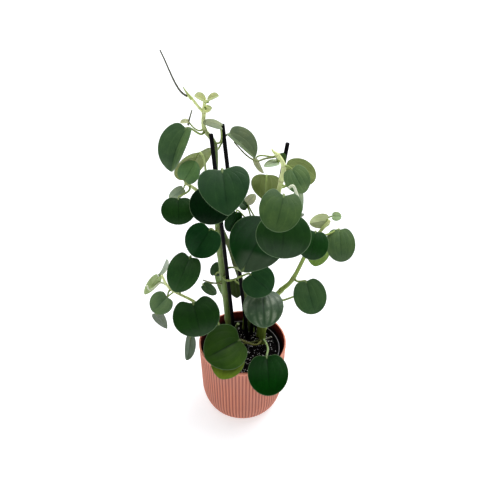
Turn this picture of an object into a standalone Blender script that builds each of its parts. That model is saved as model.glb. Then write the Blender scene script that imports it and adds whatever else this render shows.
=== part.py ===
"""A potted peperomia, staked upright: a ribbed cover pot, the nursery pot that stands in it,
soil, three stakes, six stems and their leaves.

+Z is up and the plant's front looks along -Y. The origin is the middle of the cover pot's base.
"""
import math
import random

import bmesh
import bpy
from mathutils import Vector

MM = 0.001
GAP = 0.3 * MM

# Cover pot, in metres
POT_RADIUS = 70 * MM
POT_HEIGHT = 130 * MM
POT_SHOULDER_RADIUS = 66.5 * MM
POT_SHOULDER_HEIGHT = 42 * MM
POT_BASE_RADIUS = 49 * MM
POT_WALL = 3 * MM
POT_FLOOR = 4 * MM
POT_RIBS = 78
RIB_DEPTH = 1.1 * MM
RIM_BAND = 5 * MM

# Nursery pot and soil
NURSERY_RADIUS = 60 * MM
NURSERY_HEIGHT = 116 * MM
NURSERY_BASE_RADIUS = 44 * MM
NURSERY_WALL = 1.2 * MM
NURSERY_COLLAR = 9 * MM
NURSERY_SIDES = 24
DRAIN_RADIUS = 4 * MM
SOIL_HEIGHT = 110 * MM
SOIL_BUMP = 1.4 * MM

STAKE_RADIUS = 2.9 * MM

# Blades
BLADE_THICKNESS = 1.4 * MM
YOUNG_THICKNESS = 1.0 * MM
EDGE_CURL = 0.12
BLADE_RINGS = 2

# Stalks and stems
STALK_RADIUS = 1.5 * MM
STALK_ROOT = 2 * MM
STALK_STEPS = 4
STEM_STEPS = 2

COLOURS = {
    "pot": ((0.53, 0.20, 0.15), 0.6),
    "nursery_pot": ((0.03, 0.03, 0.03), 0.5),
    "soil": ((0.025, 0.018, 0.014), 0.95),
    "stake": ((0.012, 0.014, 0.016), 0.4),
    "stem": ((0.21, 0.30, 0.07), 0.45),
    "leaf": ((0.035, 0.10, 0.03), 0.35),
    "pale_leaf": ((0.20, 0.32, 0.09), 0.4),
}

# Stakes: foot and top, in millimetres
STAKES = {
    "stake_left": ((-6, 28, 20), (-42, 5, 513)),
    "stake_middle": ((16, 27, 20), (-27, 15, 522)),
    "stake_right": ((2, 36, 16), (60, 20, 490)),
}

# Stems: radius in millimetres at the foot and at the tip, then the knots that leaves grow
# from, from the foot in the soil to the tip
STEMS = {
    "stem_left": (6.2, 2.3, [
        (-19, 35, 82), (-19, 34, 110), (-23, 30, 151), (-27, 27, 208), (-31, 24, 257),
        (-34, 22, 294), (-36, 18, 348), (-38, 17, 430), (-38, 16, 489), (-51, 15, 515),
        (-51, 15, 540), (-49, 15, 558)]),
    "stem_middle": (5.4, 2.2, [
        (15, 43, 82), (15, 43, 110), (10, 39, 165), (1, 36, 214), (-12, 33, 267),
        (-23, 33, 309), (-47, 34, 376), (-63, 26, 406), (-80, 20, 425)]),
    "stem_right": (6.0, 2.2, [
        (32, 18, 82), (32, 17, 110), (34, 16, 150), (42, 12, 200), (59, 6, 235),
        (76, 0, 265), (99, -8, 340), (121, -10, 381)]),
    "stem_leader": (4.2, 3.2, [
        (27, 31, 82), (27, 30, 110), (29, 28, 157), (31, 21, 204), (35, 14, 308),
        (47, 14, 396), (53, 12, 435), (55, 8, 462), (46, 6, 481)]),
    "stem_low": (3.2, 1.7, [
        (-30, 26, 82), (-31, 24, 110), (-42, 8, 159), (-58, -8, 202), (-75, -20, 237),
        (-107, -20, 261), (-119, -16, 284)]),
    "stem_shoot": (1.7, 1.3, [
        (0, 46, 84), (1, 46, 110), (3, 38, 150), (5, 28, 184), (10, 15, 207), (18, 4, 222)]),
}


def mm(point):
    """A point given in millimetres."""
    return Vector(point) * MM


# Each leaf: stem and knot that it grows from, the notch where its stalk joins the blade, the
# blade's tip, the way its upper face looks (degrees round from the front, then degrees up),
# the blade's width, how steeply its halves fold up along the midrib, and how far it arches.
LEAVES = {
    "leaf_heart": ("stem_left", 7, (-27, -45, 491), (-19, -83, 446), (0, 40), 65, 0.16, 0.08),
    "leaf_behind_heart": ("stem_middle", 5.8, (-42, -20, 443), (-45, -48, 404), (0, 35), 58, 0.06, 0.1),
    "leaf_tall": ("stem_left", 8.9, (-73, -8, 531), (-94, -36, 482), (-33, 36), 41, 0.85, 0.1),
    "leaf_side": ("stem_middle", 7.6, (-88, -16, 425), (-88, -38, 396), (5, 38), 47, 0.1, 0.14),
    "leaf_up": ("stem_middle", 7.95, (-80, 2, 442), (-64, 17, 463), (0, 35), 30, 0.3, 0.12),
    "leaf_underside": ("stem_left", 6.9, (-59, 22, 475), (-77, 36, 420), (-141, 22), 62, 0.15, 0.06),
    "leaf_edge": ("stem_left", 8.1, (-29, 6, 525), (-52, 6, 531), (100, 68), 24, 0.15, 0.06),
    "leaf_top_right": ("stem_left", 7.8, (-19, 22, 504), (16, 8, 474), (62, 40), 35, 0.8, 0.06),
    "leaf_far_right": ("stem_leader", 5.6, (60, 38, 439), (102, 32, 422), (175, -20), 40, 0.15, 0.08),
    "leaf_olive": ("stem_leader", 4.8, (34, 42, 424), (32, 38, 381), (176, -8), 43, 0.25, 0.06),
    "leaf_mid_right": ("stem_leader", 7, (66, 4, 459), (84, -13, 432), (0, 30), 35, 0.12, 0.1),
    "leaf_round": ("stem_leader", 5.2, (53, -55, 458), (41, -86, 422), (0, 40), 56, 0.14, 0.08),
    "leaf_wide": ("stem_leader", 4.5, (57, -36, 410), (53, -63, 357), (-5, 27), 76, 0.06, 0.12),
    "leaf_upright": ("stem_left", 4.05, (-1, -30, 304), (37, -4, 380), (-6, 22), 82, 0.12, -0.1),
    "leaf_under_wide": ("stem_left", 3.85, (11, -2, 275), (42, -20, 254), (3, 36), 52, 0.08, 0.08),
    "leaf_glossy": ("stem_shoot", 4.9, (30, -6, 241), (33, -50, 210), (-3, 54), 61, -0.1, 0.14),
    "leaf_low_right": ("stem_right", 5, (94, -12, 270), (107, -46, 235), (-5, 42), 49, 0.14, 0.08),
    "leaf_right_end": ("stem_right", 6.4, (138, 0, 358), (142, -28, 321), (-8, 38), 42, 0.1, 0.12),
    "leaf_right_mid": ("stem_right", 6, (102, -20, 370), (94, -42, 337), (-7, 33), 44, 0.1, 0.1),
    "leaf_right_back": ("stem_right", 5.7, (113, 8, 331), (106, -5, 293), (170, -23), 36, 0.2, 0.08),
    "leaf_fold": ("stem_left", 6, (-46, -14, 370), (-70, -38, 340), (0, 38), 51, 0.6, 0.08),
    "leaf_left_round": ("stem_low", 4.6, (-75, -30, 332), (-97, -62, 294), (5, 40), 46, 0.1, 0.1),
    "leaf_left_wide": ("stem_low", 3.8, (-73, -42, 254), (-61, -70, 213), (5, 33), 70, 0.1, 0.1),
    "leaf_left_pale": ("stem_low", 5, (-112, -27, 252), (-134, -43, 237), (5, 42), 35, 0.3, 0.1),
    "leaf_left_hang": ("stem_low", 4.7, (-134, -14, 206), (-116, -28, 186), (177, -38), 17, 0.3, 0.06),
    "leaf_hang": ("stem_low", 2, (-81, -18, 160), (-88, -39, 127), (130, -25), 24, 0.2, 0.06),
    "leaf_front_left": ("stem_right", 1.25, (-4, -36, 170), (-57, -64, 158), (9, 49), 71, 0.14, 0.08),
    "leaf_front_under": ("stem_right", 1.2, (-16, -41, 159), (-34, -81, 131), (9, 49), 53, 0.14, 0.08),
    "leaf_front_right": ("stem_right", 1.3, (37, -56, 155), (41, -106, 121), (-3, 50), 62, 0.14, 0.1),
    "leaf_inner_dark": ("stem_leader", 4.3, (-9, 12, 380), (-21, 4, 351), (18, 27), 24, 0.1, 0.04),
    "leaf_inner_left": ("stem_left", 3.9, (-43, 32, 242), (-39, 41, 262), (3, 30), 18, 0.12, 0.08),
    "leaf_inner_pale": ("stem_left", 3.7, (-36, 38, 238), (-30, 38, 192), (150, 0), 24, 0.2, 0.06),
    "leaf_inner_low": ("stem_middle", 3, (-12, 54, 214), (-9, 54, 174), (180, 5), 26, 0.15, 0.06),
    "leaf_back_upper": ("stem_left", 6.6, (-27, 52, 398), (-24, 85, 362), (180, 42), 56, 0.12, 0.1),
    "leaf_back_right": ("stem_leader", 4, (62, 56, 348), (68, 88, 306), (170, 38), 58, 0.12, 0.1),
    "leaf_back_middle": ("stem_middle", 4.3, (20, 66, 286), (26, 100, 246), (175, 40), 62, 0.1, 0.1),
    "leaf_back_low": ("stem_middle", 2.6, (26, 58, 172), (32, 92, 138), (170, 42), 50, 0.12, 0.1),
    "leaf_back_left": ("stem_left", 5, (-54, 46, 312), (-64, 76, 274), (-170, 38), 52, 0.14, 0.1),
    "leaf_back_side": ("stem_low", 4.6, (-94, 32, 254), (-106, 54, 222), (-155, 35), 38, 0.12, 0.1),
    "leaf_back_base": ("stem_low", 2, (-68, 34, 162), (-94, 50, 132), (-130, 42), 44, 0.1, 0.1),
    "leaf_back_rim": ("stem_right", 1.5, (48, 72, 138), (54, 104, 104), (165, 43), 40, 0.12, 0.1),
    "leaf_back_rim_left": ("stem_low", 1.6, (-60, 78, 134), (-68, 104, 100), (-165, 42), 40, 0.12, 0.1),
}

# A blade's outline: how far its tip is drawn out, how deep its notch is and how much it
# tapers, as shares of its length and half width
BLADE_CENTRE = 0.42
OUTLINES = {
    "heart": (0.05, 0.14, 0.28),
    "blunt": (0.02, 0.14, 0.06),
    "round": (0.0, 0.11, 0.0),
    "kidney": (0.0, 0.24, 0.0),
    "flat": (0.06, 0.03, 0.16),
    "ovate": (0.0, -0.08, -0.05),
}
LEAF_OUTLINES = {
    "leaf_heart": "heart", "leaf_round": "kidney", "leaf_underside": "round", "leaf_edge": "kidney",
    "leaf_olive": "flat", "leaf_right_mid": "round", "leaf_side": "round", "leaf_low_right": "round",
    "leaf_left_wide": "kidney", "leaf_behind_heart": "round", "leaf_front_right": "round",
    "leaf_wide": "round", "leaf_right_end": "round", "leaf_far_right": "round",
    "leaf_left_hang": "heart", "leaf_upright": "ovate",
    "leaf_back_upper": "round", "leaf_back_right": "kidney", "leaf_back_left": "heart",
}

PALE_LEAVES = ("leaf_underside", "leaf_olive", "leaf_far_right", "leaf_right_back",
               "leaf_left_pale", "leaf_left_hang", "leaf_inner_pale", "leaf_front_under")

# The way and the strength with which a stalk leaves its stem, where it isn't straight
# towards its blade
STALK_STARTS = {
    "leaf_heart": (0.5, -0.2, 0.1),
    "leaf_behind_heart": (-0.2, -0.9, -0.2),
    "leaf_underside": (-0.7, 0.3, 0.2),
    "leaf_top_right": (0.5, 0.8, 0.3),
    "leaf_far_right": (0.9, 0.2, 0),
    "leaf_olive": (-0.7, 0.5, 0.1),
    "leaf_round": (0, -0.9, 0),
    "leaf_wide": (0.7, -0.6, 0.1),
    "leaf_upright": (0.5, 0.3, 0),
    "leaf_under_wide": (0.3, -1.2, 0),
    "leaf_right_end": (0.7, -0.2, 0.5),
    "leaf_side": (-0.3, -0.7, 0.2),
    "leaf_left_round": (0, 0.4, 0.9),
    "leaf_left_wide": (0, -0.7, 0.4),
    "leaf_left_hang": (-0.4, 0.7, 0),
    "leaf_inner_dark": (-0.7, 0, 0.4),
    "leaf_front_left": (-0.3, -0.8, 0.2),
    "leaf_front_under": (-0.7, -0.4, 0),
    "leaf_front_right": (0.4, -0.8, 0.2),
    "leaf_back_upper": (0.4, 0.7, 0),
    "leaf_back_right": (0.8, 0.1, 0.1),
    "leaf_back_low": (0.8, 0.5, 0),
    "leaf_back_rim": (0.4, 0.7, 0.3),
    "leaf_back_rim_left": (-0.2, 0.5, 0.8),
    "leaf_back_base": (-0.3, 0.6, 0.2),
}

# Small young leaves that are one with their stem, written as the leaves are
YOUNG = {
    "young_top_left": ("stem_left", 10.9, (-48, 13, 559), (-62, 8, 568), (-10, 74), 17, 0.3, 0.1),
    "young_top_right": ("stem_left", 10.85, (-46, 14, 559), (-31, 8, 568), (10, 74), 15, 0.3, 0.1),
    "young_top_low": ("stem_left", 10.4, (-49, 12, 546), (-40, 8, 551), (10, 42), 10, 0.2, 0.1),
    "young_bud": ("stem_left", 9, (-71, 12, 529), (-82, 8, 529), (-20, 60), 8, 0.3, 0.1),
    "young_side_back": ("stem_middle", 7.85, (-84, 22, 414), (-104, 20, 396), (-12, 30), 16, 0.3, 0.1),
    "young_left_end": ("stem_low", 5.9, (-125, -9, 276), (-148, -12, 243), (170, -12), 16, 0.4, 0.06),
    "young_left_up": ("stem_low", 5.8, (-124, -6, 277), (-112, 1, 302), (50, -10), 16, 0.5, 0.05),
    "young_twig": ("stem_left", 3.6, (-60, 4, 248), (-40, 0, 232), (0, 45), 16, 0.2, 0.08),
    "young_right_cup": ("stem_right", 6.9, (120, -8, 382), (94, -6, 374), (168, -36), 21, 0.4, 0.1),
    "young_right_tiny": ("stem_right", 6.8, (125, -9, 389), (138, -9, 388), (5, 38), 13, 0.2, 0.1),
    "young_leader_dark": ("stem_leader", 7.6, (50, 12, 466), (55, 12, 480), (-10, 4), 14, 0.2, 0.1),
    "young_leader_silver": ("stem_leader", 7.5, (48, 4, 470), (28, 2, 465), (-20, 72), 13, 0.2, 0.1),
    "young_leader_slim": ("stem_leader", 7.9, (17, 12, 471), (28, 10, 448), (-44, -14), 15, 0.3, 0.05),
    "young_leader_edge": ("stem_leader", 5.8, (77, -4, 432), (79, -14, 397), (-45, 1), 19, 0.2, 0.05),
    "young_leader_low": ("stem_leader", 4.1, (7, 28, 377), (-4, 34, 383), (10, 40), 17, 0.3, 0.1),
    "young_leader_small": ("stem_leader", 4.4, (6, 24, 388), (18, 26, 401), (-10, 26), 14, 0.2, 0.1),
}

# Flower spikes, buds and twigs that are one with their stem: radii at the two ends, then
# points in millimetres
SPIKES = {
    "spike": ("stem_left", (2.1, 1.6), [(-52, 15, 541), (-59, 12, 552), (-66, 10, 564), (-71, 9, 568)]),
    "spike_tail": ("stem_left", (1.5, 0.9), [
        (-71, 9, 567), (-76, 8, 571), (-81, 7, 578), (-86, 6, 589),
        (-91, 4, 604), (-96, 1, 621), (-101, 0, 635)]),
    "spike_sheath": ("stem_left", (2.6, 0.5), [(-66, 10, 563), (-71, 9, 571), (-76, 8, 581)]),
    "bud_spike": ("stem_left", (1.5, 0.8), [(-72, 12, 523), (-70, 12, 532), (-66, 12, 546)]),
    "leader_tip": ("stem_leader", (3.0, 0.8), [(46, 6, 481), (41, 5, 486), (38, 4, 491)]),
    "leader_tendril": ("stem_leader", (1.5, 0.9), [
        (46, 6, 478), (30, 7, 474), (18, 3, 473), (4, -1, 485), (-12, 6, 501)]),
    "leader_curl": ("stem_leader", (2.7, 1.7), [
        (49, 14, 411), (60, -6, 408), (71, -24, 416), (74, -26, 430), (70, -27, 446), (66, -28, 454),
        (61, -28, 451)]),
    "twig_left": ("stem_left", (1.4, 1.1), [(-29, 24, 232), (-40, 16, 240), (-51, 8, 250), (-60, 7, 255)]),
    "twig_right": ("stem_right", (1.9, 1.5), [(51, 9, 218), (60, 6, 214), (70, 4, 219), (88, 4, 229)]),
    "low_curl": ("stem_low", (2.0, 1.2), [
        (-110, -19, 266), (-122, -11, 266), (-133, -12, 256), (-139, -16, 256), (-142, -18, 266)]),
    "stump": ("stem_left", (2.7, 2.5), [(-19, 34, 114), (-12, 36, 121), (-7, 36, 133)]),
    "base_twig": ("stem_right", (1.4, 1.1), [(33, 16, 117), (40, 13, 122), (47, 11, 128)]),
}


def material(slot):
    """The Principled material of one slot."""
    found = bpy.data.materials.get(slot)
    if found:
        return found
    colour, roughness = COLOURS[slot]
    made = bpy.data.materials.new(slot)
    made.use_nodes = True
    shader = made.node_tree.nodes["Principled BSDF"]
    shader.inputs["Base Color"].default_value = (*colour, 1)
    shader.inputs["Roughness"].default_value = roughness
    shader.inputs["Metallic"].default_value = 0
    made.diffuse_color = (*colour, 1)
    return made


def collection(name):
    """A collection of the scene."""
    made = bpy.data.collections.new(name)
    bpy.context.scene.collection.children.link(made)
    return made


def put(name, mesh, slot, group):
    """An object from a mesh, in a collection, with its slot's material."""
    mesh.materials.clear()
    mesh.materials.append(material(slot))
    placed = bpy.data.objects.new(name, mesh)
    group.objects.link(placed)
    return placed


def mesh_from(bm, name):
    """A mesh from a bmesh, which is freed."""
    mesh = bpy.data.meshes.new(name)
    bm.to_mesh(mesh)
    bm.free()
    return mesh


def evaluated_mesh(placed):
    """The mesh of an object with its modifiers applied."""
    graph = bpy.context.evaluated_depsgraph_get()
    return bpy.data.meshes.new_from_object(placed.evaluated_get(graph))


def turned(name, profile, steps):
    """A closed turned body from its profile, which starts and ends on the axis."""
    bm = bmesh.new()
    ring = [bm.verts.new((radius, 0, height)) for radius, height in profile]
    edges = [bm.edges.new(pair) for pair in zip(ring, ring[1:])]
    bmesh.ops.spin(bm, geom=ring + edges, axis=(0, 0, 1), cent=(0, 0, 0),
                   angle=math.tau, steps=steps, use_merge=True)
    bmesh.ops.remove_doubles(bm, verts=bm.verts, dist=0.01 * MM)
    bmesh.ops.recalc_face_normals(bm, faces=bm.faces)
    return bm


def pot_outside(steps):
    """Radius and height down the cover pot's outside, from the rim to the base."""
    points = [(POT_RADIUS, POT_HEIGHT - 1 * MM), (POT_RADIUS, POT_HEIGHT - RIM_BAND)]
    for step in range(steps + 1):
        turn = math.pi / 2 * step / steps
        reach = POT_SHOULDER_RADIUS - POT_BASE_RADIUS
        radius = POT_BASE_RADIUS + reach * max(math.cos(turn), 0) ** (2 / 1.8)
        points.append((radius, POT_SHOULDER_HEIGHT * (1 - math.sin(turn) ** (2 / 1.8))))
    return points


def cover_pot(group):
    """The cover pot: a thin wall with upright ribs outside, a plain rim band and a flat base."""
    outside = pot_outside(3)
    inner_top = POT_RADIUS - POT_WALL
    inner_shoulder = POT_SHOULDER_RADIUS - POT_WALL
    profile = [(0, POT_FLOOR), (POT_BASE_RADIUS, POT_FLOOR),
               (inner_shoulder - 3 * MM, POT_SHOULDER_HEIGHT / 2),
               (inner_top, POT_HEIGHT - 1 * MM), (inner_top + 1 * MM, POT_HEIGHT),
               (POT_RADIUS - 1 * MM, POT_HEIGHT)]
    profile += outside + [(0, 0)]
    bm = turned("pot", profile, 2 * POT_RIBS)
    for vert in bm.verts:
        radius = math.hypot(vert.co.x, vert.co.y)
        ribbed = 1 * MM < vert.co.z < POT_HEIGHT - RIM_BAND - 0.1 * MM
        if not ribbed or radius < wall_middle(vert.co.z):
            continue
        turn = math.atan2(vert.co.y, vert.co.x)
        depth = RIB_DEPTH * min(1, vert.co.z / (15 * MM))
        share = 1 - depth * (0.5 - 0.5 * math.cos(POT_RIBS * turn)) / radius
        vert.co.x *= share
        vert.co.y *= share
    mesh = mesh_from(bm, "pot")
    mesh.shade_smooth()
    mesh.set_sharp_from_angle(angle=math.radians(35))
    return put("pot", mesh, "pot", group)


def wall_middle(height):
    """A radius inside the cover pot's wall, between its two faces, at a height."""
    outside = pot_outside(40)
    nearest = min(outside, key=lambda point: abs(point[1] - height))
    return nearest[0] - POT_WALL / 2


def nursery_radius(height):
    """The nursery pot's outer radius at a height above the cover pot's floor."""
    share = height / NURSERY_HEIGHT
    top = NURSERY_RADIUS - 2 * MM
    return NURSERY_BASE_RADIUS + (top - NURSERY_BASE_RADIUS) * share


def drain_cutters(cutters):
    """Upright rods through the nursery pot's floor, for its drain holes."""
    for index in range(6):
        turn = math.tau * index / 6
        reach = 0 if index == 0 else 26 * MM
        bpy.ops.mesh.primitive_cylinder_add(
            vertices=12, radius=DRAIN_RADIUS, depth=8 * MM,
            location=(reach * math.cos(turn), reach * math.sin(turn), POT_FLOOR + 1 * MM))
        move_to(bpy.context.object, cutters)


def move_to(placed, group):
    """Takes an object out of its collections and puts it in one, as a hidden wire guide."""
    for owner in placed.users_collection:
        owner.objects.unlink(placed)
    group.objects.link(placed)
    placed.hide_render = True
    placed.display_type = "WIRE"


def cut_all(placed, cutters):
    """Cuts every object of a collection out of an object."""
    cut = placed.modifiers.new("cut", "BOOLEAN")
    cut.operation = "DIFFERENCE"
    cut.operand_type = "COLLECTION"
    cut.collection = cutters
    cut.solver = "EXACT"


def nursery_pot(group, cutters):
    """The plain pot that the plant grew in, standing on the cover pot's floor."""
    foot = POT_FLOOR + GAP
    top = NURSERY_HEIGHT
    profile = [
        (0, foot), (nursery_radius(0) - 2 * MM, foot), (nursery_radius(2 * MM), foot + 2 * MM),
        (nursery_radius(top - NURSERY_COLLAR), top - NURSERY_COLLAR),
        (NURSERY_RADIUS, top - NURSERY_COLLAR), (NURSERY_RADIUS, top),
        (NURSERY_RADIUS - NURSERY_WALL, top),
        (nursery_radius(top - NURSERY_COLLAR) - NURSERY_WALL, top - NURSERY_COLLAR),
        (nursery_radius(2 * MM) - NURSERY_WALL, foot + NURSERY_WALL + 1 * MM),
        (nursery_radius(0) - 4 * MM, foot + NURSERY_WALL), (0, foot + NURSERY_WALL)]
    mesh = mesh_from(turned("nursery_pot", profile, NURSERY_SIDES), "nursery_pot")
    mesh.shade_smooth()
    mesh.set_sharp_from_angle(angle=math.radians(40))
    placed = put("nursery_pot", mesh, "nursery_pot", group)
    cut_all(placed, cutters)
    return placed


def soil(group, cutters):
    """The soil: it fills the nursery pot, and its top is lumpy."""
    foot = POT_FLOOR + GAP + NURSERY_WALL + GAP
    inset = NURSERY_WALL + 2 * GAP
    top = SOIL_HEIGHT
    collar = top - NURSERY_COLLAR + 6 * MM
    profile = [(0, foot), (nursery_radius(0) - 5 * MM, foot),
               (nursery_radius(2 * MM) - inset - 1 * MM, foot + 3 * MM),
               (nursery_radius(collar - 8 * MM) - inset, collar - 8 * MM)]
    edge = profile[-1][0]
    profile += [(edge, top - 2 * MM)]
    profile += [(edge * share, top) for share in (0.84, 0.62, 0.4, 0.2, 0)]
    bm = turned("soil", profile, 20)
    rng = random.Random(7)
    for vert in bm.verts:
        if vert.co.z > top - 0.5 * MM:
            vert.co.z += rng.uniform(-SOIL_BUMP, SOIL_BUMP)
    bmesh.ops.triangulate(bm, faces=bm.faces)
    mesh = mesh_from(bm, "soil")
    mesh.shade_smooth()
    mesh.set_sharp_from_angle(angle=math.radians(50))
    placed = put("soil", mesh, "soil", group)
    cut_all(placed, cutters)
    return placed


def tube(name, points, radii, sides):
    """A closed tube through points, with a radius at each, as a mesh object of no collection."""
    line = bpy.data.curves.new(name, "CURVE")
    line.dimensions = "3D"
    line.bevel_depth = 1
    line.bevel_resolution = (sides - 4) // 2
    line.use_fill_caps = True
    spline = line.splines.new("POLY")
    spline.points.add(len(points) - 1)
    for knot, point, radius in zip(spline.points, points, radii):
        knot.co = (*point, 1)
        knot.radius = radius
    guide = bpy.data.objects.new(name, line)
    bpy.context.scene.collection.objects.link(guide)
    mesh = evaluated_mesh(guide)
    mesh.name = name
    bm = bmesh.new()
    bm.from_mesh(mesh)
    bmesh.ops.remove_doubles(bm, verts=bm.verts, dist=0.01 * MM)
    bmesh.ops.recalc_face_normals(bm, faces=bm.faces)
    bm.to_mesh(mesh)
    bm.free()
    bpy.data.objects.remove(guide)
    bpy.data.curves.remove(line)
    mesh.shade_smooth()
    return mesh


def stake(name, group, cutters):
    """A straight plastic stake, and the cutter of its hole in the soil."""
    foot, top = (mm(point) for point in STAKES[name])
    put(name, tube(name, [foot, top], [STAKE_RADIUS] * 2, 8), "stake", group)
    along = (top - foot).normalized()
    below = foot - along * GAP
    above = foot + along * (SOIL_HEIGHT - foot.z + 8 * MM) / along.z
    hole(name, [below, above], [STAKE_RADIUS] * 2, cutters)


def hole(name, points, radii, cutters):
    """A cutter for a plain hole round a stem or stake, a gap wider all round."""
    wide = [radius + 2 * GAP for radius in radii]
    cutter = bpy.data.objects.new("hole_" + name, tube("hole_" + name, points, wide, 12))
    move_to(cutter, cutters)


def stem_point(name, place):
    """A point on a stem's smooth line; a whole place is one of its knots."""
    knots = [mm(knot) for knot in STEMS[name][2]]
    first = min(int(place), len(knots) - 2)
    share = place - first
    before = knots[max(first - 1, 0)]
    start = knots[first]
    end = knots[first + 1]
    after = knots[min(first + 2, len(knots) - 1)]
    bend = (2 * before - 5 * start + 4 * end - after) * share ** 2
    twist = (3 * start - before - 3 * end + after) * share ** 3
    return (2 * start + (end - before) * share + bend + twist) / 2


def stem_radius(name, place):
    """A stem's radius, which thins towards the tip and swells a little at each knot."""
    foot, tip, knots = STEMS[name]
    share = place / (len(knots) - 1)
    swelling = 1.18 if abs(place - round(place)) < 0.01 and place >= 1 else 1
    return (foot + (tip - foot) * share) * swelling * MM


def stalk_points(start, leaving, end, arriving, steps):
    """Points of a leaf stalk: a smooth bend from the stem to the blade."""
    span = (end - start).length
    points = []
    for step in range(steps + 1):
        share = step / steps
        curve = (start * (2 * share ** 3 - 3 * share ** 2 + 1)
                 + leaving * span * (share ** 3 - 2 * share ** 2 + share)
                 + end * (3 * share ** 2 - 2 * share ** 3)
                 + arriving * span * (share ** 3 - share ** 2))
        points.append(curve)
    return points


def edge_point(turn, outline):
    """Across (-1 to 1) and along (0 at the notch, 1 at the tip) for a point of the edge."""
    tip, notch, taper = OUTLINES[outline]
    across = math.sin(turn) * (1 - taper * math.cos(turn))
    along = (1 - tip - notch) / 2 + (1 - tip + notch) / 2 * math.cos(turn)
    along += tip * math.exp(-(turn / 0.3) ** 2)
    along += notch * math.exp(-((math.pi - abs(turn)) / 0.4) ** 2)
    return across, along


def blade(name, width, length, fold, arch, spokes, thickness):
    """A leaf blade: notch at the origin, tip along +Y, upper face up, closed and thin."""
    bm = bmesh.new()
    line = [bm.verts.new((0, ring / BLADE_RINGS, 0)) for ring in range(BLADE_RINGS + 1)]
    edges = [bm.edges.new(pair) for pair in zip(line, line[1:])]
    bmesh.ops.spin(bm, geom=line + edges, axis=(0, 0, -1), cent=(0, 0, 0),
                   angle=math.tau, steps=spokes, use_merge=True)
    bmesh.ops.remove_doubles(bm, verts=bm.verts, dist=1e-4)
    half = width / 2
    for vert in bm.verts:
        share = vert.co.length
        turn = math.atan2(vert.co.x, vert.co.y) if share > 1e-6 else 0
        across, along = edge_point(turn, LEAF_OUTLINES.get(name, "blunt"))
        across *= share
        along = BLADE_CENTRE + (along - BLADE_CENTRE) * share
        rise = half * fold * (math.sqrt(across ** 2 + 0.006) - 0.077)
        rise -= half * EDGE_CURL * across ** 2
        rise += length * arch * 4 * along * (1 - along)
        vert.co = (across * half, along * length, rise)
    bmesh.ops.recalc_face_normals(bm, faces=bm.faces)
    if sum(face.normal.z for face in bm.faces) < 0:
        bmesh.ops.reverse_faces(bm, faces=bm.faces)
    bmesh.ops.triangulate(bm, faces=bm.faces)
    flat = bpy.data.objects.new(name, mesh_from(bm, name))
    bpy.context.scene.collection.objects.link(flat)
    wall = flat.modifiers.new("wall", "SOLIDIFY")
    wall.thickness = thickness
    wall.offset = 0
    mesh = evaluated_mesh(flat)
    bpy.data.objects.remove(flat)
    return mesh


def facing(direction):
    """The unit vector of a facing: degrees round from the front, then degrees up."""
    around, above = (math.radians(angle) for angle in direction)
    return Vector((math.sin(around) * math.cos(above),
                   -math.cos(around) * math.cos(above), math.sin(above)))


def set_blade(mesh, notch, tip, direction):
    """Puts a blade with its notch and tip in place and its upper face looking the given way."""
    heading = (tip - notch).normalized()
    normal = facing(direction)
    normal = (normal - normal.dot(heading) * heading).normalized()
    side = heading.cross(normal)
    for vert in mesh.vertices:
        x, y, z = vert.co
        vert.co = notch + side * x + heading * y + normal * z
    return heading, normal


def united(name, pieces, slot, group):
    """One closed body from several meshes that reach into each other."""
    shared = collection("pieces_" + name)
    for index, mesh in enumerate(pieces[1:]):
        shared.objects.link(bpy.data.objects.new(f"{name}_{index}", mesh))
    whole = bpy.data.objects.new(name, pieces[0])
    bpy.context.scene.collection.objects.link(whole)
    union = whole.modifiers.new("union", "BOOLEAN")
    union.operation = "UNION"
    union.operand_type = "COLLECTION"
    union.collection = shared
    union.solver = "EXACT"
    union.use_self = True
    mesh = evaluated_mesh(whole)
    for used in list(shared.objects) + [whole]:
        bpy.data.objects.remove(used)
    bpy.data.collections.remove(shared)
    mesh.shade_smooth()
    mesh.set_sharp_from_angle(angle=math.radians(45))
    return put(name, mesh, slot, group)


def leaf_pieces(name, spec, joined):
    """The stalk and blade of a leaf; a joined one starts inside its stem."""
    stem, place, notch, tip, direction, width, fold, arch = spec
    notch = mm(notch)
    tip = mm(tip)
    length = (tip - notch).length
    spokes = 14 if width > 40 else 10 if width > 24 else 8
    thickness = BLADE_THICKNESS if width > 24 else YOUNG_THICKNESS
    blade_mesh = blade(name, width * MM, length, fold, arch, spokes, thickness)
    heading, normal = set_blade(blade_mesh, notch, tip, direction)
    below = math.floor(place * STEM_STEPS) / STEM_STEPS
    above = below + 1 / STEM_STEPS
    share = (place - below) * STEM_STEPS
    centre = stem_point(stem, below).lerp(stem_point(stem, above), share)
    axis = (stem_point(stem, above) - stem_point(stem, below)).normalized()
    reach = stem_radius(stem, below) * (1 - share) + stem_radius(stem, above) * share + GAP
    leaving = Vector(STALK_STARTS.get(name, (notch - centre).normalized() * 0.8))
    outward = (leaving - leaving.dot(axis) * axis).normalized()
    start = centre if joined else centre + outward * reach
    arriving = (heading * 0.3 + normal * 0.8).normalized()
    points = [start] + stalk_points(start + outward * STALK_ROOT, outward * leaving.length,
                                    notch - normal * 0.3 * MM, arriving,
                                    2 if joined else STALK_STEPS)
    points.append(notch + heading * 0.1 * length - normal * 0.2 * MM)
    radius = STALK_RADIUS * (0.65 + 0.35 * min(width / 50, 1.2))
    radii = [radius * (1.25 if step == 0 else 1) for step in range(len(points))]
    radii[-1] = radius * 0.4
    return [blade_mesh, tube(name + "_stalk", points, radii, 4)]


def leaf(name, group):
    """A leaf: its blade and stalk in one body, just clear of its stem."""
    slot = "pale_leaf" if name in PALE_LEAVES else "leaf"
    return united(name, leaf_pieces(name, LEAVES[name], False), slot, group)


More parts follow.
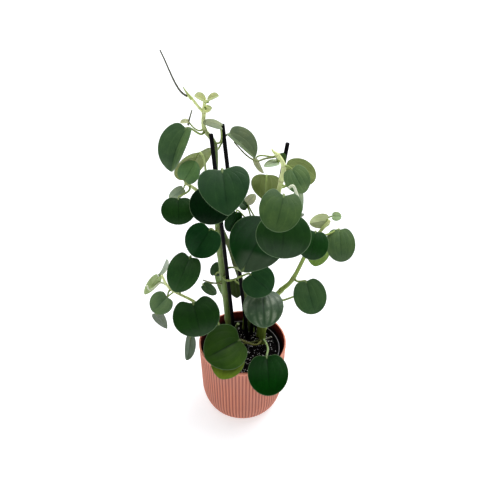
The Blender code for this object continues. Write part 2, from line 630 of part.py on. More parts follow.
def stem(name, group, cutters):
    """A stem with its young leaves and spikes in one body, and the cutter of its hole."""
    knots = len(STEMS[name][2]) - 1
    places = [step / STEM_STEPS for step in range(knots * STEM_STEPS + 1)]
    points = [stem_point(name, place) for place in places]
    radii = [stem_radius(name, place) for place in places]
    pieces = [tube(name, points, radii, 6)]
    for young, spec in YOUNG.items():
        if spec[0] == name:
            pieces += leaf_pieces(young, spec, True)
    for spike, (owner, ends, path) in SPIKES.items():
        if owner == name:
            widths = [ends[0] + (ends[1] - ends[0]) * step / (len(path) - 1) for step in range(len(path))]
            pieces.append(tube(spike, [mm(point) for point in path], [w * MM for w in widths], 4))
    united(name, pieces, "stem", group)
    buried = places[:STEM_STEPS + 2]
    path = points[:STEM_STEPS + 2]
    path[0] = path[0] - (path[1] - path[0]).normalized() * GAP
    hole(name, path, [stem_radius(name, 1)] * len(buried), cutters)


def build():
    """Makes every piece."""
    for old in list(bpy.data.objects):
        bpy.data.objects.remove(old)
    plant = collection("potted_peperomia")
    drains = collection("drain_cutters")
    holes = collection("hole_cutters")
    cover_pot(plant)
    drain_cutters(drains)
    nursery_pot(plant, drains)
    for name in STAKES:
        stake(name, plant, holes)
    for name in STEMS:
        stem(name, plant, holes)
    soil(plant, holes)
    for name in LEAVES:
        leaf(name, plant)


build()
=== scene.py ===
# %% [markdown]
# # A potted peperomia, staked upright
#
# A houseplant with round, waxy, dark green leaves stands in a dusty pink ribbed cover pot.
# Black stakes hold its fleshy stems up. The solids of the part come from the CAD model; this
# lesson dresses them: every leaf gets a fine curved blade with veins and a pale margin, every
# stem its knots, the soil its crumbs and white grains, and the pot its rounded ribs.

import math
import random

import bmesh
import bpy
from mathutils import Matrix, Vector, noise


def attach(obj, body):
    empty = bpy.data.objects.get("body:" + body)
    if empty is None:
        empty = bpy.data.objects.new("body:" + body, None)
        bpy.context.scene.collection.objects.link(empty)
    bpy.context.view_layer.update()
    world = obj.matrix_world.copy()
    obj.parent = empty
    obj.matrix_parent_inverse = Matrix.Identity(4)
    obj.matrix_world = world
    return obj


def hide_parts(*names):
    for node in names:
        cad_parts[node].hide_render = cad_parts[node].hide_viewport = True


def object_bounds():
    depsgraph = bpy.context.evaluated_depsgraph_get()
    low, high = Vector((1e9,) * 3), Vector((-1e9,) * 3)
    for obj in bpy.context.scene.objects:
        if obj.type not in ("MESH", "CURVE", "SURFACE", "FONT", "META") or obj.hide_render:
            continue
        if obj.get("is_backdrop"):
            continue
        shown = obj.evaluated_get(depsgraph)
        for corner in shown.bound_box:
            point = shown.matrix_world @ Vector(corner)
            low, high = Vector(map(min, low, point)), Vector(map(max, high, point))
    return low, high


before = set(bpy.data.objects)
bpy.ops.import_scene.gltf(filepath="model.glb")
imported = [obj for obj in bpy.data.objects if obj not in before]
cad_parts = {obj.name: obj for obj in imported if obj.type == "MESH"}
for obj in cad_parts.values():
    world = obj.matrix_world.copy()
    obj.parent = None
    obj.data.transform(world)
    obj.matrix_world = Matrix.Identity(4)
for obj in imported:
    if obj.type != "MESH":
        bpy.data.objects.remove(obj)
cad_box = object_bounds()
MM = 0.001
print("nodes:", len(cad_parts), "box:", [[round(x, 3) for x in corner] for corner in cad_box])

# %% [markdown]
# ## Camera
#
# The photograph looks down on the plant from a standing person's height, with a short tele
# lens, so the pot's rim is a wide ellipse and the upright stems hardly converge. A 60 mm lens
# on a 36 mm sensor, 39 degrees down, gives that view.

# %% Camera
CAMERA_PLACE = (-0.004, -0.898, 1.066)
CAMERA_TILT = 39
LENS = 60
SENSOR = 36

camera_data = bpy.data.cameras.new("camera")
camera_data.lens = LENS
camera_data.sensor_width = SENSOR
camera = bpy.data.objects.new("camera", camera_data)
bpy.context.scene.collection.objects.link(camera)
camera.location = CAMERA_PLACE
camera.rotation_euler = (math.radians(90 - CAMERA_TILT), 0, 0)
bpy.context.scene.camera = camera
print("camera at", CAMERA_PLACE, "with a", LENS, "mm lens")

# %% [markdown]
# ## Light
#
# A wide soft light overhead, a little to the right and behind, gives the faint shadow at the
# pot's left foot and the silver sheen on the leaves that face up. The sky behind it fades to
# dark towards the front, so the leaves that face the camera keep their deep green. Blender's
# Standard view keeps the floor white, where AgX would turn it grey.

# %% Light
SKY_TOP = (0, 0.45, 0.89)
SKY_FADE = (0.3, 0.95)
SKY_LOW = 0.02
SKY_HIGH = 1.5
KEY_FROM = (0.32, 0.30, 1)
KEY_STRENGTH = 2.2
KEY_WIDTH = 45

scene = bpy.context.scene
scene.view_settings.view_transform = "Standard"
scene.world = bpy.data.worlds.new("studio")
scene.world.use_nodes = True
sky = scene.world.node_tree
spot = sky.nodes.new("ShaderNodeTexCoord")
height = sky.nodes.new("ShaderNodeVectorMath")
height.operation = "DOT_PRODUCT"
height.inputs[1].default_value = SKY_TOP
glow = sky.nodes.new("ShaderNodeMapRange")
glow.interpolation_type = "SMOOTHSTEP"
for key, value in zip(("From Min", "From Max", "To Min", "To Max"), (*SKY_FADE, SKY_LOW, SKY_HIGH)):
    glow.inputs[key].default_value = value
sky.links.new(spot.outputs["Generated"], height.inputs[0])
sky.links.new(height.outputs["Value"], glow.inputs["Value"])
sky.links.new(glow.outputs["Result"], sky.nodes["Background"].inputs["Strength"])
sky.nodes["Background"].inputs["Color"].default_value = (1, 1, 1, 1)

key_data = bpy.data.lights.new("overhead_light", "SUN")
key_data.energy = KEY_STRENGTH
key_data.angle = math.radians(KEY_WIDTH)
key_light = bpy.data.objects.new("overhead_light", key_data)
key_light.rotation_euler = Vector(KEY_FROM).to_track_quat("Z", "Y").to_euler()
scene.collection.objects.link(key_light)
print(key_light.name, "is", KEY_WIDTH, "degrees wide")

# %% [markdown]
# ## Sums on sockets
#
# A procedural finish is mostly arithmetic: how far is this point from a vein, how deep in a
# groove. Nodes for arithmetic are slow to wire by hand, so a small class wraps a node's
# output and turns Python's operators into Math nodes. One method adds any other node.

# %% Sockets that take part in sums
def operator(operation, turned=False):
    """A method that adds a Math node; turned puts the other value first, as in 1 - mask."""
    return lambda wire, *others: wire.maths(operation, *others, turned=turned)


class Wire:
    """A node's output, which takes part in Python sums."""

    def __init__(self, finish, socket):
        self.finish = finish
        self.socket = socket

    def maths(self, operation, *others, turned=False):
        """A Math node on this value and others."""
        values = (*others, self) if turned else (self, *others)
        return self.finish.node("ShaderNodeMath", {"operation": operation}, values)

    __add__ = __radd__ = operator("ADD")
    __mul__ = __rmul__ = operator("MULTIPLY")
    __sub__, __rsub__ = operator("SUBTRACT"), operator("SUBTRACT", turned=True)
    __truediv__, __rtruediv__ = operator("DIVIDE"), operator("DIVIDE", turned=True)
    __pow__ = operator("POWER")
    __abs__ = operator("ABSOLUTE")

    def between(self, low, high):
        """0 at low, 1 at high, with soft ends."""
        return self.finish.node(
            "ShaderNodeMapRange", {"interpolation_type": "SMOOTHSTEP"},
            {"Value": self, "From Min": low, "From Max": high})


print("sums on sockets add Math nodes")


# %% Finishes
class Finish:
    """A material: a Principled shader, how much it mirrors and the nodes that feed it."""

    def __init__(self, name, specular, **values):
        self.material = bpy.data.materials.new(name)
        self.material.use_nodes = True
        self.tree = self.material.node_tree
        self.shader = self.tree.nodes["Principled BSDF"]
        self.feed(self.shader, {"Specular IOR Level": specular, **values})

    def feed(self, node, inputs):
        """Sets or links a node's inputs; _ stands for a space in a name."""
        pairs = inputs.items() if isinstance(inputs, dict) else enumerate(inputs)
        for key, value in pairs:
            socket = node.inputs[key.replace("_", " ") if isinstance(key, str) else key]
            if isinstance(value, Wire):
                self.tree.links.new(value.socket, socket)
            elif isinstance(value, tuple) and len(value) == 3 and socket.type == "RGBA":
                socket.default_value = (*value, 1)
            else:
                socket.default_value = value

    def node(self, kind, settings=None, inputs=(), output=0):
        """A node of a kind; its settings are set before its inputs are fed."""
        made = self.tree.nodes.new(kind)
        for key, value in (settings or {}).items():
            setattr(made, key, value)
        self.feed(made, inputs)
        return Wire(self, made.outputs[output])

    def place(self):
        """Where a point lies, in metres."""
        return self.node("ShaderNodeTexCoord", output="Object")

    def height(self):
        """How high a point lies, in metres."""
        return self.node("ShaderNodeSeparateXYZ", {}, {0: self.place()}, "Z")

    def noise(self, scale, detail=2.0, roughness=0.5, stretch=(1, 1, 1)):
        """Cloudy values from 0 to 1 in space; stretch squeezes them along an axis."""
        spot = self.node("ShaderNodeMapping", {}, {"Vector": self.place(), "Scale": stretch})
        return self.node("ShaderNodeTexNoise", {}, {
            "Vector": spot, "Scale": scale, "Detail": detail, "Roughness": roughness})

    def stored(self, name, output="Fac"):
        """A value or colour stored on the piece."""
        return self.node("ShaderNodeAttribute", {"attribute_name": name}, output=output)

    def mix(self, share, first, second, blend="MIX"):
        """A colour between two colours."""
        return self.node("ShaderNodeMix", {"data_type": "RGBA", "blend_type": blend}, {
            0: share, 6: first, 7: second}, output=2)

    def tinted(self, share, colour, by):
        """A colour multiplied by another: under 1 darkens it, over 1 lightens it."""
        return self.mix(share, colour, by, "MULTIPLY")

    def cover(self, colour, roughness, height, depth, strength):
        """Feeds the shader; a height of 0 to 1 stands for a relief of so many millimetres."""
        normal = self.node("ShaderNodeBump", {}, {
            "Height": height, "Distance": depth * MM, "Strength": strength})
        self.feed(self.shader, {"Base Color": colour, "Roughness": roughness, "Normal": normal})


print("a finish is a material with its nodes")

# %% [markdown]
# ## From a bmesh to a piece
#
# Each piece of the plant is made in a bmesh, in its final place, so that its object can stay
# at the origin as the CAD nodes do. One function places it, with smooth faces and its
# materials. The other also says where it rides and which CAD node it stands for.

# %% Finished pieces
ALL_SMOOTH = 180
POT_EDGES = 35
STAKE_EDGES = 40
STEM_EDGES = 50
LUMP_EDGES = 60


def placed(name, bm, finishes, smooth_angle):
    """An object from a bmesh; faces that meet at more than smooth_angle degrees stay sharp."""
    mesh = bpy.data.meshes.new(name)
    bm.to_mesh(mesh)
    bm.free()
    mesh.shade_smooth()
    mesh.set_sharp_from_angle(angle=math.radians(smooth_angle))
    for finish in finishes:
        mesh.materials.append(finish.material)
    made = bpy.data.objects.new(name, mesh)
    scene.collection.objects.link(made)
    return made


def finished(name, bm, finishes, nodes, smooth_angle):
    """A piece from a bmesh, which rides on the plant and stands for CAD nodes."""
    piece = placed(name, bm, finishes, smooth_angle)
    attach(piece, "root")
    if nodes:
        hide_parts(*nodes)
    return piece


def mm(point):
    """A point given in millimetres."""
    return Vector(point) * MM


# %% [markdown]
# ## The plant's plan
#
# These tables give the same plan that the CAD model follows, in millimetres. A stem is a
# list of knots, the thick places that leaves grow from. A leaf is a stem and a knot, its
# notch and tip, the way it faces, its width, its fold and its arch.

# %% Stakes and stems
# Stakes: foot and top, in millimetres
STAKES = {
    "stake_left": ((-6, 28, 20), (-42, 5, 513)),
    "stake_middle": ((16, 27, 20), (-27, 15, 522)),
    "stake_right": ((2, 36, 16), (60, 20, 490)),
}

# Stems, named without the stem_ of their CAD nodes: radius in millimetres at the foot and at
# the tip, then the knots that leaves grow from, from the foot in the soil to the tip
STEMS = {
    "left": (6.2, 2.3, [
        (-19, 35, 82), (-19, 34, 110), (-23, 30, 151), (-27, 27, 208), (-31, 24, 257),
        (-34, 22, 294), (-36, 18, 348), (-38, 17, 430), (-38, 16, 489), (-51, 15, 515),
        (-51, 15, 540), (-49, 15, 558)]),
    "middle": (5.4, 2.2, [
        (15, 43, 82), (15, 43, 110), (10, 39, 165), (1, 36, 214), (-12, 33, 267),
        (-23, 33, 309), (-47, 34, 376), (-63, 26, 406), (-80, 20, 425)]),
    "right": (6.0, 2.2, [
        (32, 18, 82), (32, 17, 110), (34, 16, 150), (42, 12, 200), (59, 6, 235),
        (76, 0, 265), (99, -8, 340), (121, -10, 381)]),
    "leader": (4.2, 3.2, [
        (27, 31, 82), (27, 30, 110), (29, 28, 157), (31, 21, 204), (35, 14, 308),
        (47, 14, 396), (53, 12, 435), (55, 8, 462), (46, 6, 481)]),
    "low": (3.2, 1.7, [
        (-30, 26, 82), (-31, 24, 110), (-42, 8, 159), (-58, -8, 202), (-75, -20, 237),
        (-107, -20, 261), (-119, -16, 284)]),
    "shoot": (1.7, 1.3, [
        (0, 46, 84), (1, 46, 110), (3, 38, 150), (5, 28, 184), (10, 15, 207), (18, 4, 222)]),
}
print("stakes:", list(STAKES), "stems:", list(STEMS))

# %% Leaves
# Each leaf: stem and knot that it grows from, the notch where its stalk joins the blade, the
# blade's tip, the way its upper face looks (degrees round from the front, then degrees up),
# the blade's width, how steeply its halves fold up along the midrib, and how far it arches.
LEAVES = {
    "leaf_heart": ("left", 7, (-27, -45, 491), (-19, -83, 446), (0, 40), 65, 0.16, 0.08),
    "leaf_behind_heart": ("middle", 5.8, (-42, -20, 443), (-45, -48, 404), (0, 35), 58, 0.06, 0.1),
    "leaf_tall": ("left", 8.9, (-73, -8, 531), (-94, -36, 482), (-33, 36), 41, 0.85, 0.1),
    "leaf_side": ("middle", 7.6, (-88, -16, 425), (-88, -38, 396), (5, 38), 47, 0.1, 0.14),
    "leaf_up": ("middle", 7.95, (-80, 2, 442), (-64, 17, 463), (0, 35), 30, 0.3, 0.12),
    "leaf_underside": ("left", 6.9, (-59, 22, 475), (-77, 36, 420), (-141, 22), 62, 0.15, 0.06),
    "leaf_edge": ("left", 8.1, (-29, 6, 525), (-52, 6, 531), (100, 68), 24, 0.15, 0.06),
    "leaf_top_right": ("left", 7.8, (-19, 22, 504), (16, 8, 474), (62, 40), 35, 0.8, 0.06),
    "leaf_far_right": ("leader", 5.6, (60, 38, 439), (102, 32, 422), (175, -20), 40, 0.15, 0.08),
    "leaf_olive": ("leader", 4.8, (34, 42, 424), (32, 38, 381), (176, -8), 43, 0.25, 0.06),
    "leaf_mid_right": ("leader", 7, (66, 4, 459), (84, -13, 432), (0, 30), 35, 0.12, 0.1),
    "leaf_round": ("leader", 5.2, (53, -55, 458), (41, -86, 422), (0, 40), 56, 0.14, 0.08),
    "leaf_wide": ("leader", 4.5, (57, -36, 410), (53, -63, 357), (-5, 27), 76, 0.06, 0.12),
    "leaf_upright": ("left", 4.05, (-1, -30, 304), (37, -4, 380), (-6, 22), 82, 0.12, -0.1),
    "leaf_under_wide": ("left", 3.85, (11, -2, 275), (42, -20, 254), (3, 36), 52, 0.08, 0.08),
    "leaf_glossy": ("shoot", 4.9, (30, -6, 241), (33, -50, 210), (-3, 54), 61, -0.1, 0.14),
    "leaf_low_right": ("right", 5, (94, -12, 270), (107, -46, 235), (-5, 42), 49, 0.14, 0.08),
    "leaf_right_end": ("right", 6.4, (138, 0, 358), (142, -28, 321), (-8, 38), 42, 0.1, 0.12),
    "leaf_right_mid": ("right", 6, (102, -20, 370), (94, -42, 337), (-7, 33), 44, 0.1, 0.1),
    "leaf_right_back": ("right", 5.7, (113, 8, 331), (106, -5, 293), (170, -23), 36, 0.2, 0.08),
    "leaf_fold": ("left", 6, (-46, -14, 370), (-70, -38, 340), (0, 38), 51, 0.6, 0.08),
    "leaf_left_round": ("low", 4.6, (-75, -30, 332), (-97, -62, 294), (5, 40), 46, 0.1, 0.1),
    "leaf_left_wide": ("low", 3.8, (-73, -42, 254), (-61, -70, 213), (5, 33), 70, 0.1, 0.1),
    "leaf_left_pale": ("low", 5, (-112, -27, 252), (-134, -43, 237), (5, 42), 35, 0.3, 0.1),
    "leaf_left_hang": ("low", 4.7, (-134, -14, 206), (-116, -28, 186), (177, -38), 17, 0.3, 0.06),
    "leaf_hang": ("low", 2, (-81, -18, 160), (-88, -39, 127), (130, -25), 24, 0.2, 0.06),
    "leaf_front_left": ("right", 1.25, (-4, -36, 170), (-57, -64, 158), (9, 49), 71, 0.14, 0.08),
    "leaf_front_under": ("right", 1.2, (-16, -41, 159), (-34, -81, 131), (9, 49), 53, 0.14, 0.08),
    "leaf_front_right": ("right", 1.3, (37, -56, 155), (41, -106, 121), (-3, 50), 62, 0.14, 0.1),
    "leaf_inner_dark": ("leader", 4.3, (-9, 12, 380), (-21, 4, 351), (18, 27), 24, 0.1, 0.04),
    "leaf_inner_left": ("left", 3.9, (-43, 32, 242), (-39, 41, 262), (3, 30), 18, 0.12, 0.08),
    "leaf_inner_pale": ("left", 3.7, (-36, 38, 238), (-30, 38, 192), (150, 0), 24, 0.2, 0.06),
    "leaf_inner_low": ("middle", 3, (-12, 54, 214), (-9, 54, 174), (180, 5), 26, 0.15, 0.06),
    "leaf_back_upper": ("left", 6.6, (-27, 52, 398), (-24, 85, 362), (180, 42), 56, 0.12, 0.1),
    "leaf_back_right": ("leader", 4, (62, 56, 348), (68, 88, 306), (170, 38), 58, 0.12, 0.1),
    "leaf_back_middle": ("middle", 4.3, (20, 66, 286), (26, 100, 246), (175, 40), 62, 0.1, 0.1),
    "leaf_back_low": ("middle", 2.6, (26, 58, 172), (32, 92, 138), (170, 42), 50, 0.12, 0.1),
    "leaf_back_left": ("left", 5, (-54, 46, 312), (-64, 76, 274), (-170, 38), 52, 0.14, 0.1),
    "leaf_back_side": ("low", 4.6, (-94, 32, 254), (-106, 54, 222), (-155, 35), 38, 0.12, 0.1),
    "leaf_back_base": ("low", 2, (-68, 34, 162), (-94, 50, 132), (-130, 42), 44, 0.1, 0.1),
    "leaf_back_rim": ("right", 1.5, (48, 72, 138), (54, 104, 104), (165, 43), 40, 0.12, 0.1),
    "leaf_back_rim_left": ("low", 1.6, (-60, 78, 134), (-68, 104, 100), (-165, 42), 40, 0.12, 0.1),
}
print("leaves:", len(LEAVES))

# %% Outlines
# A blade's outline: how far its tip is drawn out, how deep its notch is and how much it
# tapers, as shares of its length and half width
BLADE_CENTRE = 0.42
OUTLINES = {
    "heart": (0.05, 0.14, 0.28),
    "blunt": (0.02, 0.14, 0.06),
    "round": (0.0, 0.11, 0.0),
    "kidney": (0.0, 0.24, 0.0),
    "flat": (0.06, 0.03, 0.16),
    "ovate": (0.0, -0.08, -0.05),
}
LEAF_OUTLINES = {
    "leaf_heart": "heart", "leaf_round": "kidney", "leaf_underside": "round",
    "leaf_edge": "kidney", "leaf_olive": "flat", "leaf_right_mid": "round",
    "leaf_side": "round", "leaf_low_right": "round",
    "leaf_left_wide": "kidney", "leaf_behind_heart": "round", "leaf_front_right": "round",
    "leaf_wide": "round", "leaf_right_end": "round", "leaf_far_right": "round",
    "leaf_left_hang": "heart", "leaf_upright": "ovate",
    "leaf_back_upper": "round", "leaf_back_right": "kidney", "leaf_back_left": "heart",
}

# %% Where stalks leave their stems
# The way and the strength with which a stalk leaves its stem, where it isn't straight
# towards its blade
STALK_STARTS = {
    "leaf_heart": (0.5, -0.2, 0.1),
    "leaf_behind_heart": (-0.2, -0.9, -0.2),
    "leaf_underside": (-0.7, 0.3, 0.2),
    "leaf_top_right": (0.5, 0.8, 0.3),
    "leaf_far_right": (0.9, 0.2, 0),
    "leaf_olive": (-0.7, 0.5, 0.1),
    "leaf_round": (0, -0.9, 0),
    "leaf_wide": (0.7, -0.6, 0.1),
    "leaf_upright": (0.5, 0.3, 0),
    "leaf_under_wide": (0.3, -1.2, 0),
    "leaf_right_end": (0.7, -0.2, 0.5),
    "leaf_side": (-0.3, -0.7, 0.2),
    "leaf_left_round": (0, 0.4, 0.9),
    "leaf_left_wide": (0, -0.7, 0.4),
    "leaf_left_hang": (-0.4, 0.7, 0),
    "leaf_inner_dark": (-0.7, 0, 0.4),
    "leaf_front_left": (-0.3, -0.8, 0.2),
    "leaf_front_under": (-0.7, -0.4, 0),
    "leaf_front_right": (0.4, -0.8, 0.2),
    "leaf_back_upper": (0.4, 0.7, 0),
    "leaf_back_right": (0.8, 0.1, 0.1),
    "leaf_back_low": (0.8, 0.5, 0),
    "leaf_back_rim": (0.4, 0.7, 0.3),
    "leaf_back_rim_left": (-0.2, 0.5, 0.8),
    "leaf_back_base": (-0.3, 0.6, 0.2),
}
print("bent stalks:", len(STALK_STARTS))

# %% Young leaves, spikes and buds
# Small young leaves that are one with their stem, written as the leaves are
YOUNG = {
    "young_top_left": ("left", 10.9, (-48, 13, 559), (-62, 8, 568), (-10, 74), 17, 0.3, 0.1),
    "young_top_right": ("left", 10.85, (-46, 14, 559), (-31, 8, 568), (10, 74), 15, 0.3, 0.1),
    "young_top_low": ("left", 10.4, (-49, 12, 546), (-40, 8, 551), (10, 42), 10, 0.2, 0.1),
    "young_bud": ("left", 9, (-71, 12, 529), (-82, 8, 529), (-20, 60), 8, 0.3, 0.1),
    "young_side_back": ("middle", 7.85, (-84, 22, 414), (-104, 20, 396), (-12, 30), 16, 0.3, 0.1),
    "young_left_end": ("low", 5.9, (-125, -9, 276), (-148, -12, 243), (170, -12), 16, 0.4, 0.06),
    "young_left_up": ("low", 5.8, (-124, -6, 277), (-112, 1, 302), (50, -10), 16, 0.5, 0.05),
    "young_twig": ("left", 3.6, (-60, 4, 248), (-40, 0, 232), (0, 45), 16, 0.2, 0.08),
    "young_right_cup": ("right", 6.9, (120, -8, 382), (94, -6, 374), (168, -36), 21, 0.4, 0.1),
    "young_right_tiny": ("right", 6.8, (125, -9, 389), (138, -9, 388), (5, 38), 13, 0.2, 0.1),
    "young_leader_dark": ("leader", 7.6, (50, 12, 466), (55, 12, 480), (-10, 4), 14, 0.2, 0.1),
    "young_leader_silver": ("leader", 7.5, (48, 4, 470), (28, 2, 465), (-20, 72), 13, 0.2, 0.1),
    "young_leader_slim": ("leader", 7.9, (17, 12, 471), (28, 10, 448), (-44, -14), 15, 0.3, 0.05),
    "young_leader_edge": ("leader", 5.8, (77, -4, 432), (79, -14, 397), (-45, 1), 19, 0.2, 0.05),
    "young_leader_low": ("leader", 4.1, (7, 28, 377), (-4, 34, 383), (10, 40), 17, 0.3, 0.1),
    "young_leader_small": ("leader", 4.4, (6, 24, 388), (18, 26, 401), (-10, 26), 14, 0.2, 0.1),
}

# Flower spikes, buds and twigs that are one with their stem: the stem, radii in millimetres
# at the two ends, a colour, then points in millimetres
YOUNG_TINT = (0.88, 0.96, 0.44)
SPIKES = {
    "spike": ("left", (2.1, 1.6), YOUNG_TINT, [
        (-52, 15, 541), (-59, 12, 552), (-66, 10, 564), (-71, 9, 568)]),
    "spike_tail": ("left", (1.5, 0.9), (0.075, 0.080, 0.045), [
        (-71, 9, 567), (-76, 8, 571), (-81, 7, 578), (-86, 6, 589),
        (-91, 4, 604), (-96, 1, 621), (-101, 0, 635)]),
    "spike_sheath": ("left", (2.6, 0.5), (0.50, 0.60, 0.20), [
        (-66, 10, 563), (-71, 9, 571), (-76, 8, 581)]),
    "bud_spike": ("left", (1.5, 0.8), (0.13, 0.15, 0.07), [
        (-72, 12, 523), (-70, 12, 532), (-66, 12, 546)]),
    "leader_tip": ("leader", (3.0, 0.8), YOUNG_TINT, [(46, 6, 481), (41, 5, 486), (38, 4, 491)]),
    "leader_tendril": ("leader", (1.5, 0.9), (0.20, 0.24, 0.08), [
        (46, 6, 478), (30, 7, 474), (18, 3, 473), (4, -1, 485), (-12, 6, 501)]),
    "leader_curl": ("leader", (2.7, 1.7), (0.92, 0.96, 0.76), [
        (49, 14, 411), (60, -6, 408), (71, -24, 416), (74, -26, 430), (70, -27, 446),
        (66, -28, 454), (61, -28, 451)]),
    "twig_left": ("left", (1.4, 1.1), (0.26, 0.28, 0.12), [
        (-29, 24, 232), (-40, 16, 240), (-51, 8, 250), (-60, 7, 255)]),
    "twig_right": ("right", (1.9, 1.5), (0.30, 0.38, 0.12), [
        (51, 9, 218), (60, 6, 214), (70, 4, 219), (88, 4, 229)]),
    "low_curl": ("low", (2.0, 1.2), (0.84, 0.90, 0.66), [
        (-110, -19, 266), (-122, -11, 266), (-133, -12, 256), (-139, -16, 256), (-142, -18, 266)]),
    "stump": ("left", (2.7, 2.5), (0.30, 0.38, 0.16), [
        (-19, 34, 114), (-12, 36, 121), (-7, 36, 133)]),
    "base_twig": ("right", (1.4, 1.1), (0.42, 0.40, 0.34), [
        (33, 16, 117), (40, 13, 122), (47, 11, 128)]),
}
STALK_RADIUS = 1.5 * MM
STALK_ROOT = 2 * MM
print("young leaves:", len(YOUNG), "spikes, buds and twigs:", len(SPIKES))

# %% [markdown]
# ## Smooth curves and tubes
#
# Stems, stalks and spikes are all round tubes along a smooth line. Knots joined by straight
# pieces would look broken, so a Catmull-Rom curve runs through them. The tube is a circle,
# extruded from point to point and turned the shortest way each time, so it never twists.

# %% Points on smooth curves
def curve_point(knots, place):
    """A point on the smooth line through knots; a whole place is one of them."""
    first = min(int(place), len(knots) - 2)
    share = place - first
    before = knots[max(first - 1, 0)]
    start = knots[first]
    end = knots[first + 1]
    after = knots[min(first + 2, len(knots) - 1)]
    bend = (2 * before - 5 * start + 4 * end - after) * share ** 2
    twist = (3 * start - before - 3 * end + after) * share ** 3
    return (2 * start + (end - before) * share + bend + twist) / 2


def stalk_points(start, leaving, end, arriving, steps):
    """A smooth bend from one point and direction to another."""
    span = (end - start).length
    points = []
    for step in range(steps + 1):
        share = step / steps
        points.append(start * (2 * share ** 3 - 3 * share ** 2 + 1)
                      + leaving * span * (share ** 3 - 2 * share ** 2 + share)
                      + end * (3 * share ** 2 - 2 * share ** 3)
                      + arriving * span * (share ** 3 - share ** 2))
    return points


print("a point of the left stem:", curve_point([mm(knot) for knot in STEMS["left"][2]], 5.5))

# %% Tubes
BLADE_FACE, BLADE_BACK, STALK = range(3)


def unique(parts):
    """Parts of a mesh without repeats, in the same order each run."""
    return list(dict.fromkeys(parts))


def new_plant_mesh():
    """An empty bmesh with the values that the plant's finishes read."""
    bm = bmesh.new()
    for name in ("across", "along", "reach", "knot"):
        bm.verts.layers.float.new(name)
    bm.verts.layers.float_color.new("tint")
    return bm


def add_tube(bm, points, radii, sides, tint, knots=None):
    """A closed tube through points, with a radius and a knot value at each."""
    tints = bm.verts.layers.float_color["tint"]
    knot_values = bm.verts.layers.float["knot"]
    ring = bmesh.ops.create_circle(bm, radius=1, segments=sides)["verts"]
    way = (points[1] - points[0]).normalized()
    turn = Vector((0, 0, 1)).rotation_difference(way).to_matrix().to_4x4()
    move = Matrix.Translation(points[0]) @ turn @ Matrix.Scale(radii[0], 4)
    bmesh.ops.transform(bm, matrix=move, verts=ring)
    edges = unique(edge for vert in ring for edge in vert.link_edges)
    faces = bmesh.ops.contextual_create(bm, geom=edges)["faces"]
    for step, point in enumerate(points):
        if step:
            made = bmesh.ops.extrude_edge_only(bm, edges=edges)["geom"]
            ring = [part for part in made if isinstance(part, bmesh.types.BMVert)]
            edges = [part for part in made if isinstance(part, bmesh.types.BMEdge)]
            faces += [part for part in made if isinstance(part, bmesh.types.BMFace)]
            after = points[min(step + 1, len(points) - 1)]
            turn_to = (after - points[step - 1]).normalized()
            turn = way.rotation_difference(turn_to).to_matrix().to_4x4()
            size = Matrix.Scale(radii[step] / radii[step - 1], 4)
            move = Matrix.Translation(point) @ turn @ size @ Matrix.Translation(-points[step - 1])
            bmesh.ops.transform(bm, matrix=move, verts=ring)
            way = turn_to
        for vert in ring:
            vert[tints] = (*tint(step / (len(points) - 1)), 1) if callable(tint) else (*tint, 1)
            vert[knot_values] = knots[step] if knots else 0
    faces += bmesh.ops.contextual_create(bm, geom=edges)["faces"]
    for face in faces:
        face.material_index = STALK
    bmesh.ops.recalc_face_normals(bm, faces=faces)


print("a tube follows any list of points")

# %% [markdown]
# ## A leaf blade
#
# The leaves are heart-shaped, as thick as a coin and a little quilted between veins that run
# from the notch to the tip. A flat outline would miss the way they catch light, so the blade
# starts as a line spun into a disc. Each point of the disc then gets its place across and
# along the leaf, its height, and the values that the finish reads. A copy, turned over and
# set lower, makes the underside, and a bridge between the two rims closes the edge.

# %% Outline and veins
TIP_SPREAD = 0.3
NOTCH_SPREAD = 0.4
EDGE_CURL = 0.12
VEIN_SPACING = 0.38
VEIN_SPREAD = 0.98
CREASE_ROUNDNESS = 0.006
CREASE_DROP = 0.077
WAVINESS = 0.035
QUILT = 0.008
QUILT_REACH = 2.9
RIB_WIDTH = 0.06
RIB_SINK = 0.35 * MM
BLADE_THICKNESS = 1.3 * MM
RIM_THICKNESS = 0.6 * MM


def edge_point(turn, outline):
    """Across (-1 to 1) and along (0 at the notch, 1 at the tip) for a point of the edge."""
    tip, notch, taper = OUTLINES[outline]
    across = math.sin(turn) * (1 - taper * math.cos(turn))
    along = (1 - tip - notch) / 2 + (1 - tip + notch) / 2 * math.cos(turn)
    along += tip * math.exp(-(turn / TIP_SPREAD) ** 2)
    along += notch * math.exp(-((math.pi - abs(turn)) / NOTCH_SPREAD) ** 2)
    return across, along


def blade_height(across, along, half, length, fold, arch, seed):
    """The height of the upper face over the flat leaf."""
    rise = half * fold * (math.sqrt(across ** 2 + CREASE_ROUNDNESS) - CREASE_DROP)
    rise -= half * EDGE_CURL * across ** 2
    rise += length * arch * 4 * along * (1 - along)
    spread = VEIN_SPREAD * math.sqrt(max(4 * along * (1 - along), 0.05))
    line = abs(across) / spread / VEIN_SPACING
    open_part = min(max((along - 0.02) * 5, 0), 1) * min(max((0.98 - along) * 6, 0), 1)
    quilt = (0.5 - 0.5 * math.cos(math.tau * line)) * max(0, 1 - (line / QUILT_REACH) ** 4)
    rise += half * QUILT * quilt * open_part
    rise -= RIB_SINK * math.exp(-(across / RIB_WIDTH) ** 2) * min(max(1.2 - along, 0), 1)
    wave = noise.noise(Vector((across * 1.6, along * 2.2, seed * 7.31)))
    return rise + half * WAVINESS * wave * (across ** 2 + (along - 0.2) ** 2)


def facing(direction):
    """The unit vector of a facing: degrees round from the front, then degrees up."""
    around, above = (math.radians(angle) for angle in direction)
    return Vector((math.sin(around) * math.cos(above),
                   -math.cos(around) * math.cos(above), math.sin(above)))


